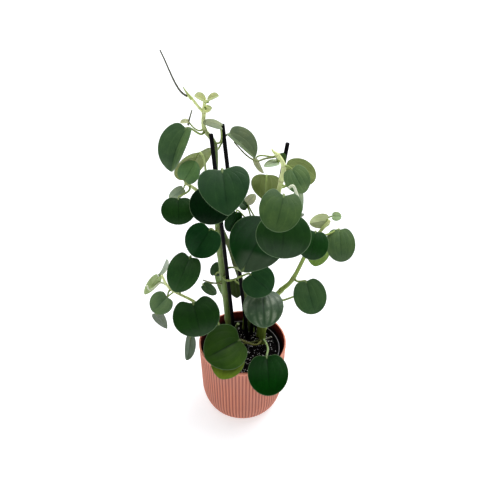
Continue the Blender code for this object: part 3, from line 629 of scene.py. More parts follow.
places = [edge_point(math.tau * step / 100, "heart") for step in range(100)]
print("the heart is widest at", round(max(places)[1], 2), "of its length")


# %% The blade
def add_blade(bm, name, spec, tones, spokes=84, rings=12):
    """Adds a blade to a bmesh; gives its heading, normal, length, half width and wall."""
    notch, tip, direction, width, fold, arch = spec[2:]
    notch, tip = mm(notch), mm(tip)
    length = (tip - notch).length
    half = width / 2 * MM
    heading = (tip - notch).normalized()
    normal = facing(direction)
    normal = (normal - normal.dot(heading) * heading).normalized()
    wall = min(BLADE_THICKNESS, half * 0.09)
    rim = min(RIM_THICKNESS, half * 0.05)
    seed = sum(ord(letter) for letter in name)
    outline = LEAF_OUTLINES.get(name, "blunt")
    values = {key: bm.verts.layers.float[key] for key in ("across", "along", "reach")}
    tints = bm.verts.layers.float_color["tint"]

    known = set(bm.verts)
    line = [bm.verts.new((0, 1 - (1 - ring / rings) ** 1.5, 0)) for ring in range(rings + 1)]
    edges = [bm.edges.new(pair) for pair in zip(line, line[1:])]
    bmesh.ops.spin(bm, geom=line + edges, axis=(0, 0, -1), cent=(0, 0, 0),
                   angle=math.tau, steps=spokes, use_merge=True)
    bmesh.ops.remove_doubles(bm, verts=[v for v in bm.verts if v not in known], dist=1e-4)
    top = [vert for vert in bm.verts if vert not in known]
    for vert in top:
        share = vert.co.length
        turn = math.atan2(vert.co.x, vert.co.y) if share > 1e-6 else 0
        across, along = edge_point(turn, outline)
        across *= share
        along = BLADE_CENTRE + (along - BLADE_CENTRE) * share
        vert[values["across"]], vert[values["along"]], vert[values["reach"]] = across, along, share
        vert[tints] = (*tones[0], 1)
        rise = blade_height(across, along, half, length, fold, arch, seed)
        vert.co = (across * half, along * length, rise)
    face_side = unique(face for vert in top for face in vert.link_faces)
    for face in face_side:
        face.normal_update()
    if sum(face.normal.z for face in face_side) < 0:
        bmesh.ops.reverse_faces(bm, faces=face_side)
    whole = top + face_side + unique(edge for vert in top for edge in vert.link_edges)
    copied = bmesh.ops.duplicate(bm, geom=whole)["geom"]
    bottom = [part for part in copied if isinstance(part, bmesh.types.BMVert)]
    back_side = [part for part in copied if isinstance(part, bmesh.types.BMFace)]
    bmesh.ops.reverse_faces(bm, faces=back_side)
    for vert in bottom:
        vert.co.z -= wall + (rim - wall) * vert[values["reach"]] ** 3
        vert[tints] = (*tones[1], 1)
    rims = unique(edge for vert in top + bottom for edge in vert.link_edges if edge.is_boundary)
    back_side += bmesh.ops.bridge_loops(bm, edges=rims)["faces"]
    for faces, index in ((face_side, BLADE_FACE), (back_side, BLADE_BACK)):
        for face in faces:
            face.material_index = index
    axes = Matrix((heading.cross(normal), heading, normal)).transposed().to_4x4()
    bmesh.ops.transform(bm, matrix=Matrix.Translation(notch) @ axes, verts=top + bottom)
    bmesh.ops.recalc_face_normals(bm, faces=face_side + back_side)
    return heading, normal, length, half, wall


print("a large blade is", BLADE_THICKNESS / MM, "mm thick, and", RIM_THICKNESS / MM, "at its rim")

# %% [markdown]
# ## Leaf stalks
#
# A stalk leaves its stem squarely, with a swollen foot, bends to the notch and runs on under
# the blade as the raised midrib. So it is one tube, drawn along a curve that is given the
# direction at both ends.

# %% Stalks
KNOT_SWELLING = 0.16
FOOT_SWELLING = 0.45
STALK_SIDES = 10
START_STRENGTH = 0.8
WIDE_LEAF = 50
STEM_STEP = 0.1
NOTCH_DEPTH = 1.1 * MM
MIDRIB_PLACES = (0.07, 0.15, 0.26, 0.4, 0.55)


def stem_radius(name, place):
    """A stem's radius, which thins towards the tip and swells at each knot."""
    foot, tip, knots = STEMS[name]
    nearest = max(round(place), 1)
    swelling = 1 + KNOT_SWELLING * math.exp(-((place - nearest) / 0.1) ** 2)
    return (foot + (tip - foot) * place / (len(knots) - 1)) * swelling * MM


def add_leaf(bm, name, spec, tones, inside=0.6, **detail):
    """Adds a leaf to a bmesh: its blade, and the stalk that carries it."""
    stem, place, notch, _, _, width, fold, arch = spec
    heading, normal, length, half, wall = add_blade(bm, name, spec, tones, **detail)
    notch = mm(notch)
    knots = [mm(knot) for knot in STEMS[stem][2]]
    centre = curve_point(knots, place)
    above = curve_point(knots, min(place + STEM_STEP, len(knots) - 1))
    axis = (above - curve_point(knots, place - STEM_STEP)).normalized()
    leaving = Vector(STALK_STARTS.get(name, (notch - centre).normalized() * START_STRENGTH))
    outward = (leaving - leaving.dot(axis) * axis).normalized()
    surface = stem_radius(stem, place)
    arriving = (heading * 0.3 + normal * 0.8).normalized()
    bend = stalk_points(centre + outward * (surface + STALK_ROOT), outward * leaving.length,
                        notch - normal * NOTCH_DEPTH, arriving, 16 if width > 24 else 8)
    points = [centre + outward * surface * inside, centre + outward * (surface + 0.6 * MM)] + bend
    radius = STALK_RADIUS * (0.65 + 0.35 * min(width / WIDE_LEAF, 1.2))
    radii = [radius * (1 + FOOT_SWELLING * math.exp(-step / 1.5)) for step in range(len(points))]
    for along in MIDRIB_PLACES:
        under = blade_height(0, along, half, length, fold, arch, 0) - wall * 0.9
        points.append(notch + heading * along * length + normal * under)
        radii.append(radius * (0.85 - 1.3 * along))
    pale, green = Vector(tones[2]), Vector(tones[1]) * 0.8
    add_tube(bm, points, radii, STALK_SIDES,
             lambda share: pale.lerp(green, min(max(share * 4 - 2.6, 0), 1)))


print("leaf shapes are ready")

# %% [markdown]
# ## Finishes of the leaves and stems
#
# The leaves are waxy: dark green with a soft, wide sheen, a pale line round the edge and a
# light spot where the stalk joins. Their veins are sunken, so most of what shows is bump. The
# pattern reads the values across and along each leaf, so it follows every blade.

# %% Veins and the upper face
# Painted sheen: a silver-grey that stands in for bright light reflected off a glossy leaf
PAINTED_SHEEN = (0.300, 0.360, 0.260)
VEIN_WIDTH = 0.06


def vein_distance(across, along):
    """How far a point of a blade lies from the nearest vein."""
    spread = (along * (1 - along) * 4).maths("MAXIMUM", 0.05) ** 0.5 * VEIN_SPREAD
    return (abs(across) / spread / VEIN_SPACING).maths("PINGPONG", 0.5) * spread * VEIN_SPACING


def leaf_face(name, specular, rib=0.6, painted_sheen_bands=0.0, sheen=0.0, painted_light_half=None):
    """An upper face: how much it mirrors, how much painted shade darkens its sunken midrib, and
    where it gets a painted sheen or a painted lighter half.
    """
    face = Finish(name, specular)
    across = face.stored("across")
    along = face.stored("along")
    reach = face.stored("reach")
    clouds = face.noise(55, 3)
    pores = face.noise(1400, 2, 0.6)
    from_vein = vein_distance(across, along)
    midrib = 1 - abs(across).between(0.01, 0.055)
    inner = (1 - reach.between(0.8, 0.95)) * along.between(0.02, 0.12)
    veins = (1 - from_vein.between(0.0, VEIN_WIDTH)) * inner
    notch_spot = 1 - ((across * across * 1.6 + along * along) ** 0.5).between(0.02, 0.10)
    margin = reach.between(0.965, 0.985)
    cells = face.node("ShaderNodeTexVoronoi", {"feature": "DISTANCE_TO_EDGE"}, {
        "Vector": face.place(), "Scale": 260})
    netting = 1 - cells.between(0.0, 0.12)

    colour = face.tinted(clouds.between(0.3, 0.7), face.stored("tint", "Color"), (1.45, 1.30, 1.20))
    # Painted sheen: silver patches between the veins stand in for the reflection of the light
    # overhead
    if painted_sheen_bands:
        painted_sheen_patches = clouds.between(0.42, 0.66) * (0.5 + pores.between(0.4, 0.6) * 0.5)
        colour = face.mix(from_vein.between(0.03, 0.13) * painted_sheen_patches * painted_sheen_bands, colour, PAINTED_SHEEN)
        colour = face.tinted(veins * 0.4, colour, (0.35, 0.45, 0.40))
    else:
        colour = face.tinted(veins * 0.14 + netting * 0.10, colour, (1.9, 1.7, 1.6))
    # Painted light: one half of the blade is lightened where it meets the light at a grazing angle
    if painted_light_half:
        half = (1 - across.between(-0.12, 0.0)) * (1 - along.between(*painted_light_half))
        colour = face.tinted(half * 0.8, colour, (1.8, 1.5, 1.4))
    # Painted sheen: a silver patch near the notch stands in for the sky's reflection, and its edge
    # for the shadow of the leaf above
    if sheen:
        painted_sheen_mask = 1 - (along - across * 0.09).between(0.28, 0.40)
        painted_sheen_mask = painted_sheen_mask * across.between(-0.55, -0.05)
        colour = face.mix(painted_sheen_mask * sheen * (0.7 + clouds * 0.6), colour, PAINTED_SHEEN)
    # Painted shade: the sunken midrib is darkened, fading towards the tip; rib sets how much
    colour = face.tinted(midrib * (1 - along.between(0.6, 1.0)) * rib, colour, (0.4, 0.5, 0.5))
    colour = face.mix(notch_spot * 0.7, colour, (0.20, 0.32, 0.09))
    colour = face.mix(margin * 0.55, colour, (0.17, 0.27, 0.13))
    hollow = 1 - veins * (0.3 + painted_sheen_bands * 0.1) - netting * 0.08 + pores * 0.08
    face.cover(colour, 0.30 + clouds * 0.12 + pores * 0.06, hollow, 0.7, 0.6)
    return face


print("leaf_face makes an upper face's finish")

# %% The upper faces
waxy_face = leaf_face("waxy_leaf_face", 0.2)
dull_face = leaf_face("dull_leaf_face", 0.08)
DULL_LEAVES = ("leaf_front_right", "leaf_behind_heart", "leaf_inner_dark", "leaf_fold", "leaf_side")
FACE_FINISHES = {
    **dict.fromkeys(DULL_LEAVES, dull_face),
    "leaf_glossy": leaf_face("painted_sheen_banded_leaf_face", 0.5, painted_sheen_bands=0.9),
    "leaf_upright": leaf_face("painted_sheen_leaf_face", 0.2, sheen=0.18),
    "leaf_front_left": leaf_face("painted_crease_shade_and_light_leaf_face", 0.2, rib=1.4, painted_light_half=(0.35, 0.7)),
    "leaf_tall": leaf_face("painted_light_half_leaf_face", 0.2, painted_light_half=(1.0, 1.1)),
}
print("upper faces:", sorted({finish.material.name for finish in FACE_FINISHES.values()}))

# %% The underside, and stalks and stems
leaf_back = Finish("matt_leaf_back", 0.35)
across = leaf_back.stored("across")
along = leaf_back.stored("along")
clouds = leaf_back.noise(60, 3)
veins = 1 - vein_distance(across, along).between(0.0, VEIN_WIDTH)
veins = veins * along.between(0.02, 0.12)
back_tint = leaf_back.stored("tint", "Color")
back_colour = leaf_back.tinted(clouds.between(0.3, 0.75) * 0.8, back_tint, (0.70, 0.75, 0.60))
back_colour = leaf_back.tinted(veins * 0.18, back_colour, (1.7, 1.6, 1.8))
leaf_back.cover(back_colour, 0.5 + clouds * 0.15, veins, 0.4, 0.5)

stem_skin = Finish("fleshy_stem_skin", 0.45)
stem_tint = stem_skin.stored("tint", "Color")
streaks = stem_skin.noise(260, 4, 0.6, (1, 1, 0.18))
specks = stem_skin.noise(900, 2, 0.5)
scar = stem_skin.stored("knot")
skin_colour = stem_skin.tinted(streaks.between(0.4, 0.7) * 0.6, stem_tint, (0.70, 0.75, 0.60))
skin_colour = stem_skin.tinted(specks.between(0.62, 0.72) * 0.5, skin_colour, (1.7, 1.6, 2.2))
skin_colour = stem_skin.mix(scar * (0.3 + streaks * 0.3), skin_colour, (0.16, 0.11, 0.05))
stem_skin.cover(skin_colour, 0.38 + streaks * 0.2, streaks - scar * 0.5, 0.5, 0.6)
print("finishes:", [finish.material.name for finish in (waxy_face, leaf_back, stem_skin)])

# %% [markdown]
# ## The leaves
#
# No two leaves have the same green. New ones are yellow-green. Each leaf has a tone of its own
# for the side that shows, set to how light or dark it looks, so the tones also hold painted
# light and painted shade: the nearly black-green ones carry the shade of the leaves above
# them, and one has a painted silky sheen. The other side takes a common tone.

# %% Tones
DEEP = (0.012, 0.048, 0.013)
GREY = (0.130, 0.170, 0.095)
STALK_TINT = (0.300, 0.400, 0.100)
STEM_TINT = (0.260, 0.370, 0.050)


def thousandths(table):
    """Colours from a table that gives them in thousandths."""
    return {name: tuple(part / 1000 for part in tone) for name, tone in table.items()}


# Face tones: each leaf's own green, with painted shade on leaves that lie in the shade of others
# and painted light on the palest
FACE_TONES_WITH_PAINTED_LIGHT_AND_SHADE = thousandths({
    "leaf_heart": (15, 52, 17), "leaf_behind_heart": (1, 12, 2), "leaf_tall": (44, 101, 39),
    "leaf_side": (8, 38, 6), "leaf_up": (92, 202, 72), "leaf_edge": (156, 202, 122),
    "leaf_top_right": (100, 148, 80), "leaf_mid_right": (92, 170, 66), "leaf_round": (43, 94, 28),
    "leaf_wide": (10, 44, 8), "leaf_upright": (2, 33, 3), "leaf_under_wide": (15, 61, 18),
    "leaf_glossy": (40, 92, 40), "leaf_low_right": (37, 93, 32), "leaf_right_end": (56, 112, 41),
    "leaf_right_mid": (6, 41, 5), "leaf_fold": (7, 48, 11), "leaf_left_round": (18, 66, 15),
    "leaf_left_wide": (8, 42, 5), "leaf_left_pale": (97, 181, 78), "leaf_front_left": (20, 62, 6),
    "leaf_front_under": (128, 215, 18), "leaf_front_right": (1, 28, 1),
    "leaf_inner_dark": (1, 24, 1), "leaf_inner_left": (31, 81, 32),
    "young_side_back": (258, 352, 245), "young_twig": (47, 102, 43),
    "young_leader_silver": (370, 500, 330), "young_leader_low": (26, 63, 28),
    "young_top_left": (330, 390, 170), "young_top_right": (350, 420, 190),
    "young_leader_dark": (34, 80, 21), "young_leader_slim": (319, 363, 189),
    "young_left_up": (494, 593, 517), "young_leader_small": (400, 460, 300),
    "young_right_tiny": (310, 450, 220), "young_leader_edge": (363, 493, 348),
    "young_top_low": (780, 922, 462), "young_bud": (380, 440, 260),
    "young_right_cup": (473, 546, 294),
})
# Back tones: each underside's own colour, with painted light where light shines through it and
# painted shade
BACK_TONES_WITH_PAINTED_LIGHT_AND_SHADE = thousandths({
    "leaf_underside": (330, 396, 130), "leaf_olive": (302, 376, 114),
    "leaf_far_right": (290, 370, 120), "leaf_right_back": (224, 371, 68),
    "leaf_left_hang": (252, 302, 234), "leaf_inner_pale": (124, 228, 27),
    "leaf_inner_low": (50, 88, 10), "leaf_hang": (111, 164, 98),
    "young_left_end": (480, 614, 269), "young_right_cup": (525, 588, 322),
})
STALK_TONES = thousandths({
    "leaf_front_left": (202, 209, 53), "leaf_front_under": (90, 111, 22),
    "leaf_front_right": (378, 525, 216), "leaf_underside": (550, 660, 259),
    "leaf_olive": (255, 342, 87),
})


def leaf_tones(name):
    """The tones of a leaf's face, back and stalk."""
    face = FACE_TONES_WITH_PAINTED_LIGHT_AND_SHADE.get(name, DEEP)
    back = BACK_TONES_WITH_PAINTED_LIGHT_AND_SHADE.get(name, face if name in YOUNG else GREY)
    return face, back, STALK_TONES.get(name, STALK_TINT)


print("tones:", len(FACE_TONES_WITH_PAINTED_LIGHT_AND_SHADE), "faces,", len(BACK_TONES_WITH_PAINTED_LIGHT_AND_SHADE), "backs,", len(STALK_TONES), "stalks")


# %% Leaf pieces
def piece_name(node):
    """A scene piece's name for a node: leaf_heart gives heart_leaf."""
    kind, rest = node.split("_", 1)
    return f"{rest}_{kind}"


faces = 0
for name, spec in LEAVES.items():
    bm = new_plant_mesh()
    add_leaf(bm, name, spec, leaf_tones(name))
    finishes = [FACE_FINISHES.get(name, waxy_face), leaf_back, stem_skin]
    made = finished(piece_name(name), bm, finishes, [name], ALL_SMOOTH)
    faces += len(made.data.polygons)
print("leaves:", len(LEAVES), "with", faces, "faces")

# %% [markdown]
# ## The stems
#
# The stems are succulent: smooth, pale green, thicker at each knot, with a thin brown ring
# where a leaf once grew. Young leaves, buds and the flower spike belong to their stem. The
# spike's upper end is dark and grainy, because the tiny flowers there have dried.

# %% Stems, with their young leaves and spikes
# Painted shade: the middle and left stems are tinted darker for the shade of the leaves they stand
# in
PAINTED_SHADE_STEM_TINTS = {"middle": (0.110, 0.170, 0.030), "left": (0.185, 0.285, 0.066)}
YOUNG_FROM = {"middle": 0.80, "left": 0.72, "leader": 0.60, "low": 0.62, "right": 0.85}
STEPS_PER_KNOT = 12
STEM_SIDES = 20
SPIKE_STEPS = 6
SPIKE_SIDES = 10


def add_stem(bm, name):
    """Adds a stem from its foot in the soil to its tip, with a ring at each knot."""
    knots = [mm(knot) for knot in STEMS[name][2]]
    count = (len(knots) - 1) * STEPS_PER_KNOT
    places = [step / STEPS_PER_KNOT for step in range(count + 1)]
    points = [curve_point(knots, place) for place in places]
    radii = [stem_radius(name, place) for place in places]
    rings = [0.8 if place > 1 and place == int(place) else 0 for place in places]
    tip = (points[-1] - points[-2]).normalized()
    points.append(points[-1] + tip * radii[-1] * 0.6)
    radii.append(radii[-1] * 0.55)
    old, young = Vector(PAINTED_SHADE_STEM_TINTS.get(name, STEM_TINT)), Vector(YOUNG_TINT)
    young_from = YOUNG_FROM.get(name, 1)
    add_tube(bm, points, radii, STEM_SIDES,
             lambda share: old.lerp(young, min(max((share - young_from) * 6, 0), 1)), rings + [0])


def add_spike(bm, ends, tint, path):
    """Adds a bud, twig or flower spike as a smooth tube."""
    knots = [mm(point) for point in path]
    count = (len(knots) - 1) * SPIKE_STEPS
    points = [curve_point(knots, step / SPIKE_STEPS) for step in range(count + 1)]
    radii = [(ends[0] + (ends[1] - ends[0]) * step / count) * MM for step in range(count + 1)]
    add_tube(bm, points, radii, SPIKE_SIDES, tint)


plant_finishes = [waxy_face, leaf_back, stem_skin]
for name in STEMS:
    bm = new_plant_mesh()
    add_stem(bm, name)
    for young, spec in YOUNG.items():
        if spec[0] == name:
            add_leaf(bm, young, spec, leaf_tones(young), 0, spokes=48, rings=7)
    for owner, ends, tint, path in SPIKES.values():
        if owner == name:
            add_spike(bm, ends, tint, path)
    made = finished(f"{name}_stem", bm, plant_finishes, [f"stem_{name}"], STEM_EDGES)
    print(made.name, len(made.data.polygons), "faces")

# %% [markdown]
# ## The stakes
#
# Thin black stakes hold the plant up. They are plastic over a core, dull with handling, and
# cut square at the top.

# %% Stakes
STAKE_RADIUS = 2.9 * MM
STAKE_STEPS = 40
STAKE_SIDES = 24

stake_skin = Finish("black_stake", 0.05)
strands = stake_skin.noise(380, 4, 0.6, (1, 1, 0.1))
nicks = stake_skin.noise(120, 3, 0.6)
stake_colour = stake_skin.mix(
    strands.between(0.45, 0.75) * 0.5, (0.001, 0.001, 0.002), (0.007, 0.007, 0.007))
stake_colour = stake_skin.mix(nicks.between(0.66, 0.76) * 0.4, stake_colour, (0.05, 0.045, 0.035))
stake_skin.cover(stake_colour, 0.36 + strands * 0.25, strands, 0.3, 0.6)


def stake(name):
    """A straight stake with a rounded edge at its cut top."""
    foot, top = (mm(point) for point in STAKES[name])
    along = (top - foot).normalized()
    edge = top - along * 0.5 * MM
    points = [foot + (edge - foot) * step / STAKE_STEPS for step in range(STAKE_STEPS + 1)]
    points += [top - along * 0.15 * MM, top]
    shares = [1] * (STAKE_STEPS + 1) + [0.97, 0.86]
    bm = new_plant_mesh()
    add_tube(bm, points, [STAKE_RADIUS * share for share in shares], STAKE_SIDES, (0, 0, 0))
    for face in bm.faces:
        face.material_index = 0
    return finished(piece_name(name), bm, [stake_skin], [name], STAKE_EDGES)


print("stakes:", [stake(name).name for name in STAKES])

# %% [markdown]
# ## The cover pot
#
# A matt pot with 78 upright ribs, a narrow plain band at the rim and a rounded foot. Its
# profile is spun round the axis in fine steps, and every point outside then moves in by a
# rounded groove. The grooves are narrower than the ribs, so the power of a cosine shapes
# them. The groove's depth is stored on the mesh, because the finish paints dust and shade
# there.

# %% The pot's sizes, and how profiles are spun
POT_RADIUS = 70 * MM
POT_HEIGHT = 130 * MM
POT_SHOULDER_RADIUS = 66.5 * MM
POT_SHOULDER_HEIGHT = 42 * MM
POT_BASE_RADIUS = 49 * MM
POT_WALL = 3 * MM
POT_FLOOR = 4 * MM
SOIL_LINE = 108 * MM
POT_RIBS = 78
RIB_DEPTH = 1.1 * MM
GROOVE_SHARPNESS = 1.6
RIM_BAND = 5 * MM
LIP_RISE = 1.2 * MM
FOOT_ROUNDNESS = 1.8
STEPS_PER_RIB = 8
RIM_STEPS = 6
SIDE_STEPS = 8
FOOT_STEPS = 14


def spun(profile, steps):
    """A bmesh of a profile of (radius, height) pairs, turned once round the axis."""
    bm = bmesh.new()
    ring = [bm.verts.new((radius, 0, height)) for radius, height in profile]
    edges = [bm.edges.new(pair) for pair in zip(ring, ring[1:])]
    bmesh.ops.spin(bm, geom=ring + edges, axis=(0, 0, 1), cent=(0, 0, 0),
                   angle=math.tau, steps=steps, use_merge=True)
    bmesh.ops.remove_doubles(bm, verts=bm.verts, dist=0.01 * MM)
    bmesh.ops.recalc_face_normals(bm, faces=bm.faces)
    return bm


def rim(start, width, top, rise):
    """A rim's rounded top, from the side where it starts to the other."""
    turns = [math.pi * step / RIM_STEPS for step in range(RIM_STEPS + 1)]
    return [(start + width / 2 * (1 - math.cos(turn)), top - rise * (1 - math.sin(turn)))
            for turn in turns]


print("a rib is", round(math.tau * POT_RADIUS / POT_RIBS / MM, 2), "mm wide")


# %% The pot's outer side
def pot_outside():
    """The outer side from under the rim to the base."""
    points = [(POT_RADIUS, POT_HEIGHT - RIM_BAND + 0.5 * MM),
              (POT_RADIUS - 0.1 * MM, POT_HEIGHT - RIM_BAND)]
    lean = (POT_RADIUS - POT_SHOULDER_RADIUS) / (POT_HEIGHT - POT_SHOULDER_HEIGHT)
    top = POT_HEIGHT - RIM_BAND - 1.5 * MM
    for step in range(SIDE_STEPS):
        height = top - (top - POT_SHOULDER_HEIGHT) * step / SIDE_STEPS
        points.append((POT_SHOULDER_RADIUS + lean * (height - POT_SHOULDER_HEIGHT), height))
    power = 2 / FOOT_ROUNDNESS
    for step in range(FOOT_STEPS + 1):
        turn = math.pi / 2 * step / FOOT_STEPS
        out = (POT_SHOULDER_RADIUS - POT_BASE_RADIUS) * max(math.cos(turn), 0) ** power
        points.append((POT_BASE_RADIUS + out, POT_SHOULDER_HEIGHT * (1 - math.sin(turn) ** power)))
    return points


print("the outer side has", len(pot_outside()), "points")

# %% The pot's wall and ribs
inside_top = POT_RADIUS - POT_WALL
inside = [(0, POT_FLOOR), (POT_BASE_RADIUS, POT_FLOOR),
          (POT_SHOULDER_RADIUS - POT_WALL - 3 * MM, POT_SHOULDER_HEIGHT / 2),
          (inside_top - 1 * MM, POT_HEIGHT - 40 * MM), (inside_top, POT_HEIGHT - 2 * MM)]
inside += rim(inside_top, POT_WALL, POT_HEIGHT, LIP_RISE)
pot_mesh = spun(inside + pot_outside() + [(0, 0)], STEPS_PER_RIB * POT_RIBS)
groove = pot_mesh.verts.layers.float.new("groove")
inner = pot_mesh.verts.layers.float.new("inner")
for vert in pot_mesh.verts:
    radius = math.hypot(vert.co.x, vert.co.y)
    vert[inner] = max(0, -vert.normal.dot(Vector((vert.co.x, vert.co.y, 0)).normalized()))
    ribbed = radius > POT_BASE_RADIUS + 1 * MM and vert.co.z < POT_HEIGHT - RIM_BAND - 0.4 * MM
    above_inside = vert.co.z > POT_SHOULDER_HEIGHT and radius < POT_SHOULDER_RADIUS - 1 * MM
    if ribbed and not above_inside:
        turn = math.atan2(vert.co.y, vert.co.x)
        vert[groove] = (0.5 - 0.5 * math.cos(POT_RIBS * turn)) ** GROOVE_SHARPNESS
        depth = RIB_DEPTH * min(1, vert.co.z / (12 * MM))
        vert.co.xy *= 1 - depth * vert[groove] / radius
print("pot:", len(pot_mesh.faces), "faces")

# %% [markdown]
# The finish is matt with a fine grain, like dyed stoneware. The crests are dusty pink, the
# grooves a deeper brick, darkened with painted shade and dust, and large soft clouds keep a
# wide surface from looking flat. Inside, the wall is painted in shade: a deep red that
# darkens towards the soil.

# %% The pot's finish and piece
POT_CREST = (0.765, 0.288, 0.184)
POT_GROOVE_DUST_AND_SHADE = (0.350, 0.092, 0.058)
POT_INNER_SHADE = (0.300, 0.022, 0.024)
POT_DEPTH_SHADE = (0.018, 0.001, 0.002)

pot_finish = Finish("dusty_pink_stoneware", 0.35)
in_groove = pot_finish.stored("groove")
clouds = pot_finish.noise(18, 3)
grain = pot_finish.noise(900, 2, 0.7)
# Painted shade, with some dust: the grooves are mixed towards a darker brick
pot_colour = pot_finish.mix(in_groove ** 1.1, POT_CREST, POT_GROOVE_DUST_AND_SHADE)
pot_colour = pot_finish.mix(clouds.between(0.35, 0.75) * 0.22, pot_colour, (0.50, 0.25, 0.21))
pot_colour = pot_finish.mix(grain.between(0.62, 0.75) * 0.3, pot_colour, (0.70, 0.36, 0.28))
# Painted shade: the inner wall is a deep red that grows near-black towards the soil
from_soil = pot_finish.height().between(SOIL_LINE, POT_HEIGHT - 1 * MM)
inner_shade_colour = pot_finish.mix(from_soil, POT_DEPTH_SHADE, POT_INNER_SHADE)
pot_colour = pot_finish.mix(pot_finish.stored("inner").between(0.3, 0.9), pot_colour, inner_shade_colour)
pot_finish.cover(pot_colour, 0.55 + grain * 0.25, grain, 0.12, 0.5)
cover_pot = finished("cover_pot", pot_mesh, [pot_finish], ["pot"], POT_EDGES)
print(cover_pot.name, "has", POT_RIBS, "ribs")

# %% [markdown]
# ## The nursery pot
#
# The plant still stands in the thin black plastic pot that it was sold in. Little of it
# shows: a rolled rim, whose painted highlight draws a thin pale line just inside the cover pot.

# %% The nursery pot
NURSERY_RADIUS = 60 * MM
NURSERY_HEIGHT = 116 * MM
NURSERY_BASE_RADIUS = 44 * MM
NURSERY_WALL = 1.2 * MM
NURSERY_COLLAR = 9 * MM
SEAT_GAP = 0.3 * MM
ROUND_STEPS = 160


def nursery_radius(height):
    """The nursery pot's outer radius at a height above the cover pot's floor."""
    spread = NURSERY_RADIUS - 2 * MM - NURSERY_BASE_RADIUS
    return NURSERY_BASE_RADIUS + spread * height / NURSERY_HEIGHT


foot = POT_FLOOR + SEAT_GAP
collar = NURSERY_HEIGHT - NURSERY_COLLAR
shell = [(0, foot), (nursery_radius(0) - 2 * MM, foot), (nursery_radius(2 * MM), foot + 2 * MM),
         (nursery_radius(collar), collar), (NURSERY_RADIUS - 0.4 * MM, collar),
         (NURSERY_RADIUS, collar + 0.4 * MM)]
shell += rim(NURSERY_RADIUS, -NURSERY_WALL, NURSERY_HEIGHT, NURSERY_WALL / 2)
shell += [(nursery_radius(collar) - NURSERY_WALL, collar),
          (nursery_radius(2 * MM) - NURSERY_WALL, foot + 2.2 * MM),
          (nursery_radius(0) - 4 * MM, foot + NURSERY_WALL), (0, foot + NURSERY_WALL)]
plastic = Finish("black_nursery_plastic", 0.3)
scuffs = plastic.noise(70, 4, 0.6)
plastic_colour = plastic.mix(
    scuffs.between(0.5, 0.8) * 0.5, (0.003, 0.003, 0.004), (0.02, 0.02, 0.02))
# Painted highlight: a pale band along the top of the rolled rim
painted_rim_highlight = plastic.height().between(NURSERY_HEIGHT - 0.7 * MM, NURSERY_HEIGHT - 0.2 * MM)
plastic_colour = plastic.mix(painted_rim_highlight * 0.8, plastic_colour, (0.30, 0.29, 0.30))
plastic.cover(plastic_colour, 0.32 + scuffs * 0.3, scuffs, 0.2, 0.4)
nursery_mesh = spun(shell, ROUND_STEPS)
nursery = finished("grow_pot", nursery_mesh, [plastic], ["nursery_pot"], POT_EDGES)
print("grow pot:", len(nursery.data.polygons), "faces")

# %% [markdown]
# ## Soil, white grains and crumbs
#
# Potting soil is near-black and lumpy, with white perlite grains all through it. The surface
# is a fine disc moved by noise. The crumbs and grains are real little lumps, because from the
# side a painted dot looks flat: each starts as an icosphere with 20 faces, squeezed and
# turned at random.

# %% The soil's surface
SOIL_HEIGHT = 110 * MM
SOIL_RINGS = 40
SOIL_SPOKES = 180
soil_edge = nursery_radius(SOIL_HEIGHT) - NURSERY_WALL - 2 * SEAT_GAP


def soil_top(x, y):
    """The height of the soil's surface."""
    spot = Vector((x, y, 0))
    lumps = noise.fractal(spot * 90, 1.0, 2.0, 4) * 1.1 * MM
    rolls = noise.noise(spot * 28) * 1.6 * MM
    return SOIL_HEIGHT + lumps + rolls


low = foot + NURSERY_WALL + SEAT_GAP
fill = [(0, low), (nursery_radius(0) - 5 * MM, low),
        (nursery_radius(60 * MM) - 2.4 * MM, 60 * MM), (soil_edge, SOIL_HEIGHT - 3 * MM)]
fill += [(soil_edge * (1 - ring / SOIL_RINGS), SOIL_HEIGHT) for ring in range(SOIL_RINGS + 1)]
soil_mesh = spun(fill, SOIL_SPOKES)
for vert in soil_mesh.verts:
    if vert.co.z > SOIL_HEIGHT - 0.1 * MM:
        vert.co.z = soil_top(vert.co.x, vert.co.y)
earth = Finish("potting_soil", 0.06)
clods = earth.noise(420, 5, 0.65)
fibres = earth.noise(900, 3, 0.6, (1, 0.25, 1))
earth_colour = earth.mix(clods.between(0.35, 0.7), (0.0008, 0.0006, 0.0010), (0.004, 0.003, 0.003))
earth_colour = earth.mix(fibres.between(0.68, 0.78) * 0.5, earth_colour, (0.060, 0.035, 0.020))
earth.cover(earth_colour, 0.75 + clods * 0.25, clods, 0.9, 0.9)
soil = finished("soil_bed", soil_mesh, [earth], ["soil"], ALL_SMOOTH)
print("soil:", len(soil.data.polygons), "faces")


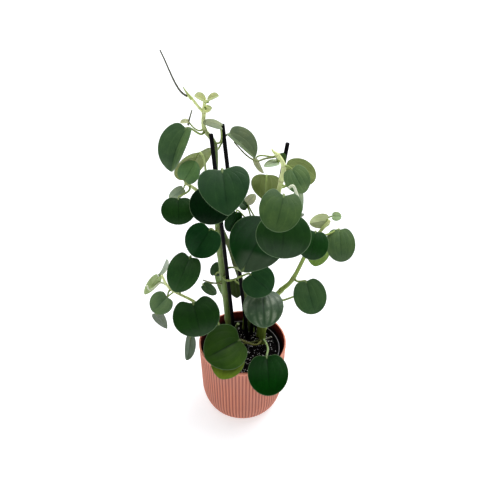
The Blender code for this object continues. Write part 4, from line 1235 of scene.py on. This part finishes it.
# %% Crumbs and white grains
def lumps(name, count, sizes, finish, seed, lift):
    """Small lumps strewn over the soil, each a squeezed and turned icosphere."""
    rng = random.Random(seed)
    bm = bmesh.new()
    for _ in range(count):
        reach = (soil_edge - 2 * MM) * math.sqrt(rng.random())
        turn = rng.uniform(0, math.tau)
        x, y = reach * math.cos(turn), reach * math.sin(turn)
        size = rng.uniform(*sizes) * MM
        made = bmesh.ops.create_icosphere(bm, subdivisions=1, radius=size)["verts"]
        for vert in made:
            vert.co *= rng.uniform(0.75, 1.2)
        squeeze = Matrix.Diagonal(
            (rng.uniform(0.7, 1.2), rng.uniform(0.6, 1.1), rng.uniform(0.5, 0.9), 1))
        tilt = Matrix.Rotation(
            rng.uniform(0, math.tau), 4, Vector((rng.uniform(-1, 1), rng.uniform(-1, 1), 1)))
        spot = Matrix.Translation((x, y, soil_top(x, y) + size * lift))
        bmesh.ops.transform(bm, matrix=spot @ tilt @ squeeze, verts=made)
    return finished(name, bm, [finish], (), LUMP_EDGES)


white_grain = Finish("perlite", 0.3)
pores = white_grain.noise(1500, 2, 0.6)
grain_colour = white_grain.mix(pores.between(0.3, 0.6), (0.55, 0.53, 0.52), (0.90, 0.90, 0.90))
white_grain.cover(grain_colour, 0.8 + pores * 0.15, pores, 0.3, 0.6)
crumb = Finish("soil_crumb", 0.06)
crust = crumb.noise(600, 3, 0.6)
crumb_colour = crumb.mix(crust.between(0.3, 0.7), (0.001, 0.0008, 0.001), (0.006, 0.004, 0.004))
crumb.cover(crumb_colour, 0.8 + crust * 0.2, crust, 0.4, 0.7)
crumbs = lumps("soil_crumbs", 900, (0.5, 2.0), crumb, 11, 0.1)
grains = lumps("perlite_grains", 460, (0.35, 1.15), white_grain, 5, 0.4)
print("crumbs:", len(crumbs.data.polygons), "faces; grains:", len(grains.data.polygons), "faces")

# %% [markdown]
# ## Floor
#
# The background is pure white and runs under the pot, with only a faint shadow. A large
# white plane that glows a little keeps the white even and the shadow soft.

# %% Floor
FLOOR_SIZE = 60
FLOOR_GLOW = 0.66
FLOOR_COLOUR = (0.56, 0.57, 0.60)

floor_mesh = bmesh.new()
bmesh.ops.create_grid(floor_mesh, x_segments=1, y_segments=1, size=FLOOR_SIZE)
floor_paint = Finish("white_floor", 0.0, Base_Color=FLOOR_COLOUR, Roughness=0.9,
                     Emission_Color=(1, 1, 1), Emission_Strength=FLOOR_GLOW)
floor = placed("studio_floor", floor_mesh, [floor_paint], ALL_SMOOTH)
floor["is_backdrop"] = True
print("floor:", FLOOR_SIZE * 2, "m wide")

# %% [markdown]
# ## Sizes and finish
#
# The dressed plant is meant to keep the size of the CAD model. Both boxes are printed.

# %% Sizes
dressed_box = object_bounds()
boxes = {"cad": [list(corner) for corner in cad_box],
         "visual": [list(corner) for corner in dressed_box]}
for key, corners in boxes.items():
    print(key, [[round(value, 4) for value in corner] for corner in corners])
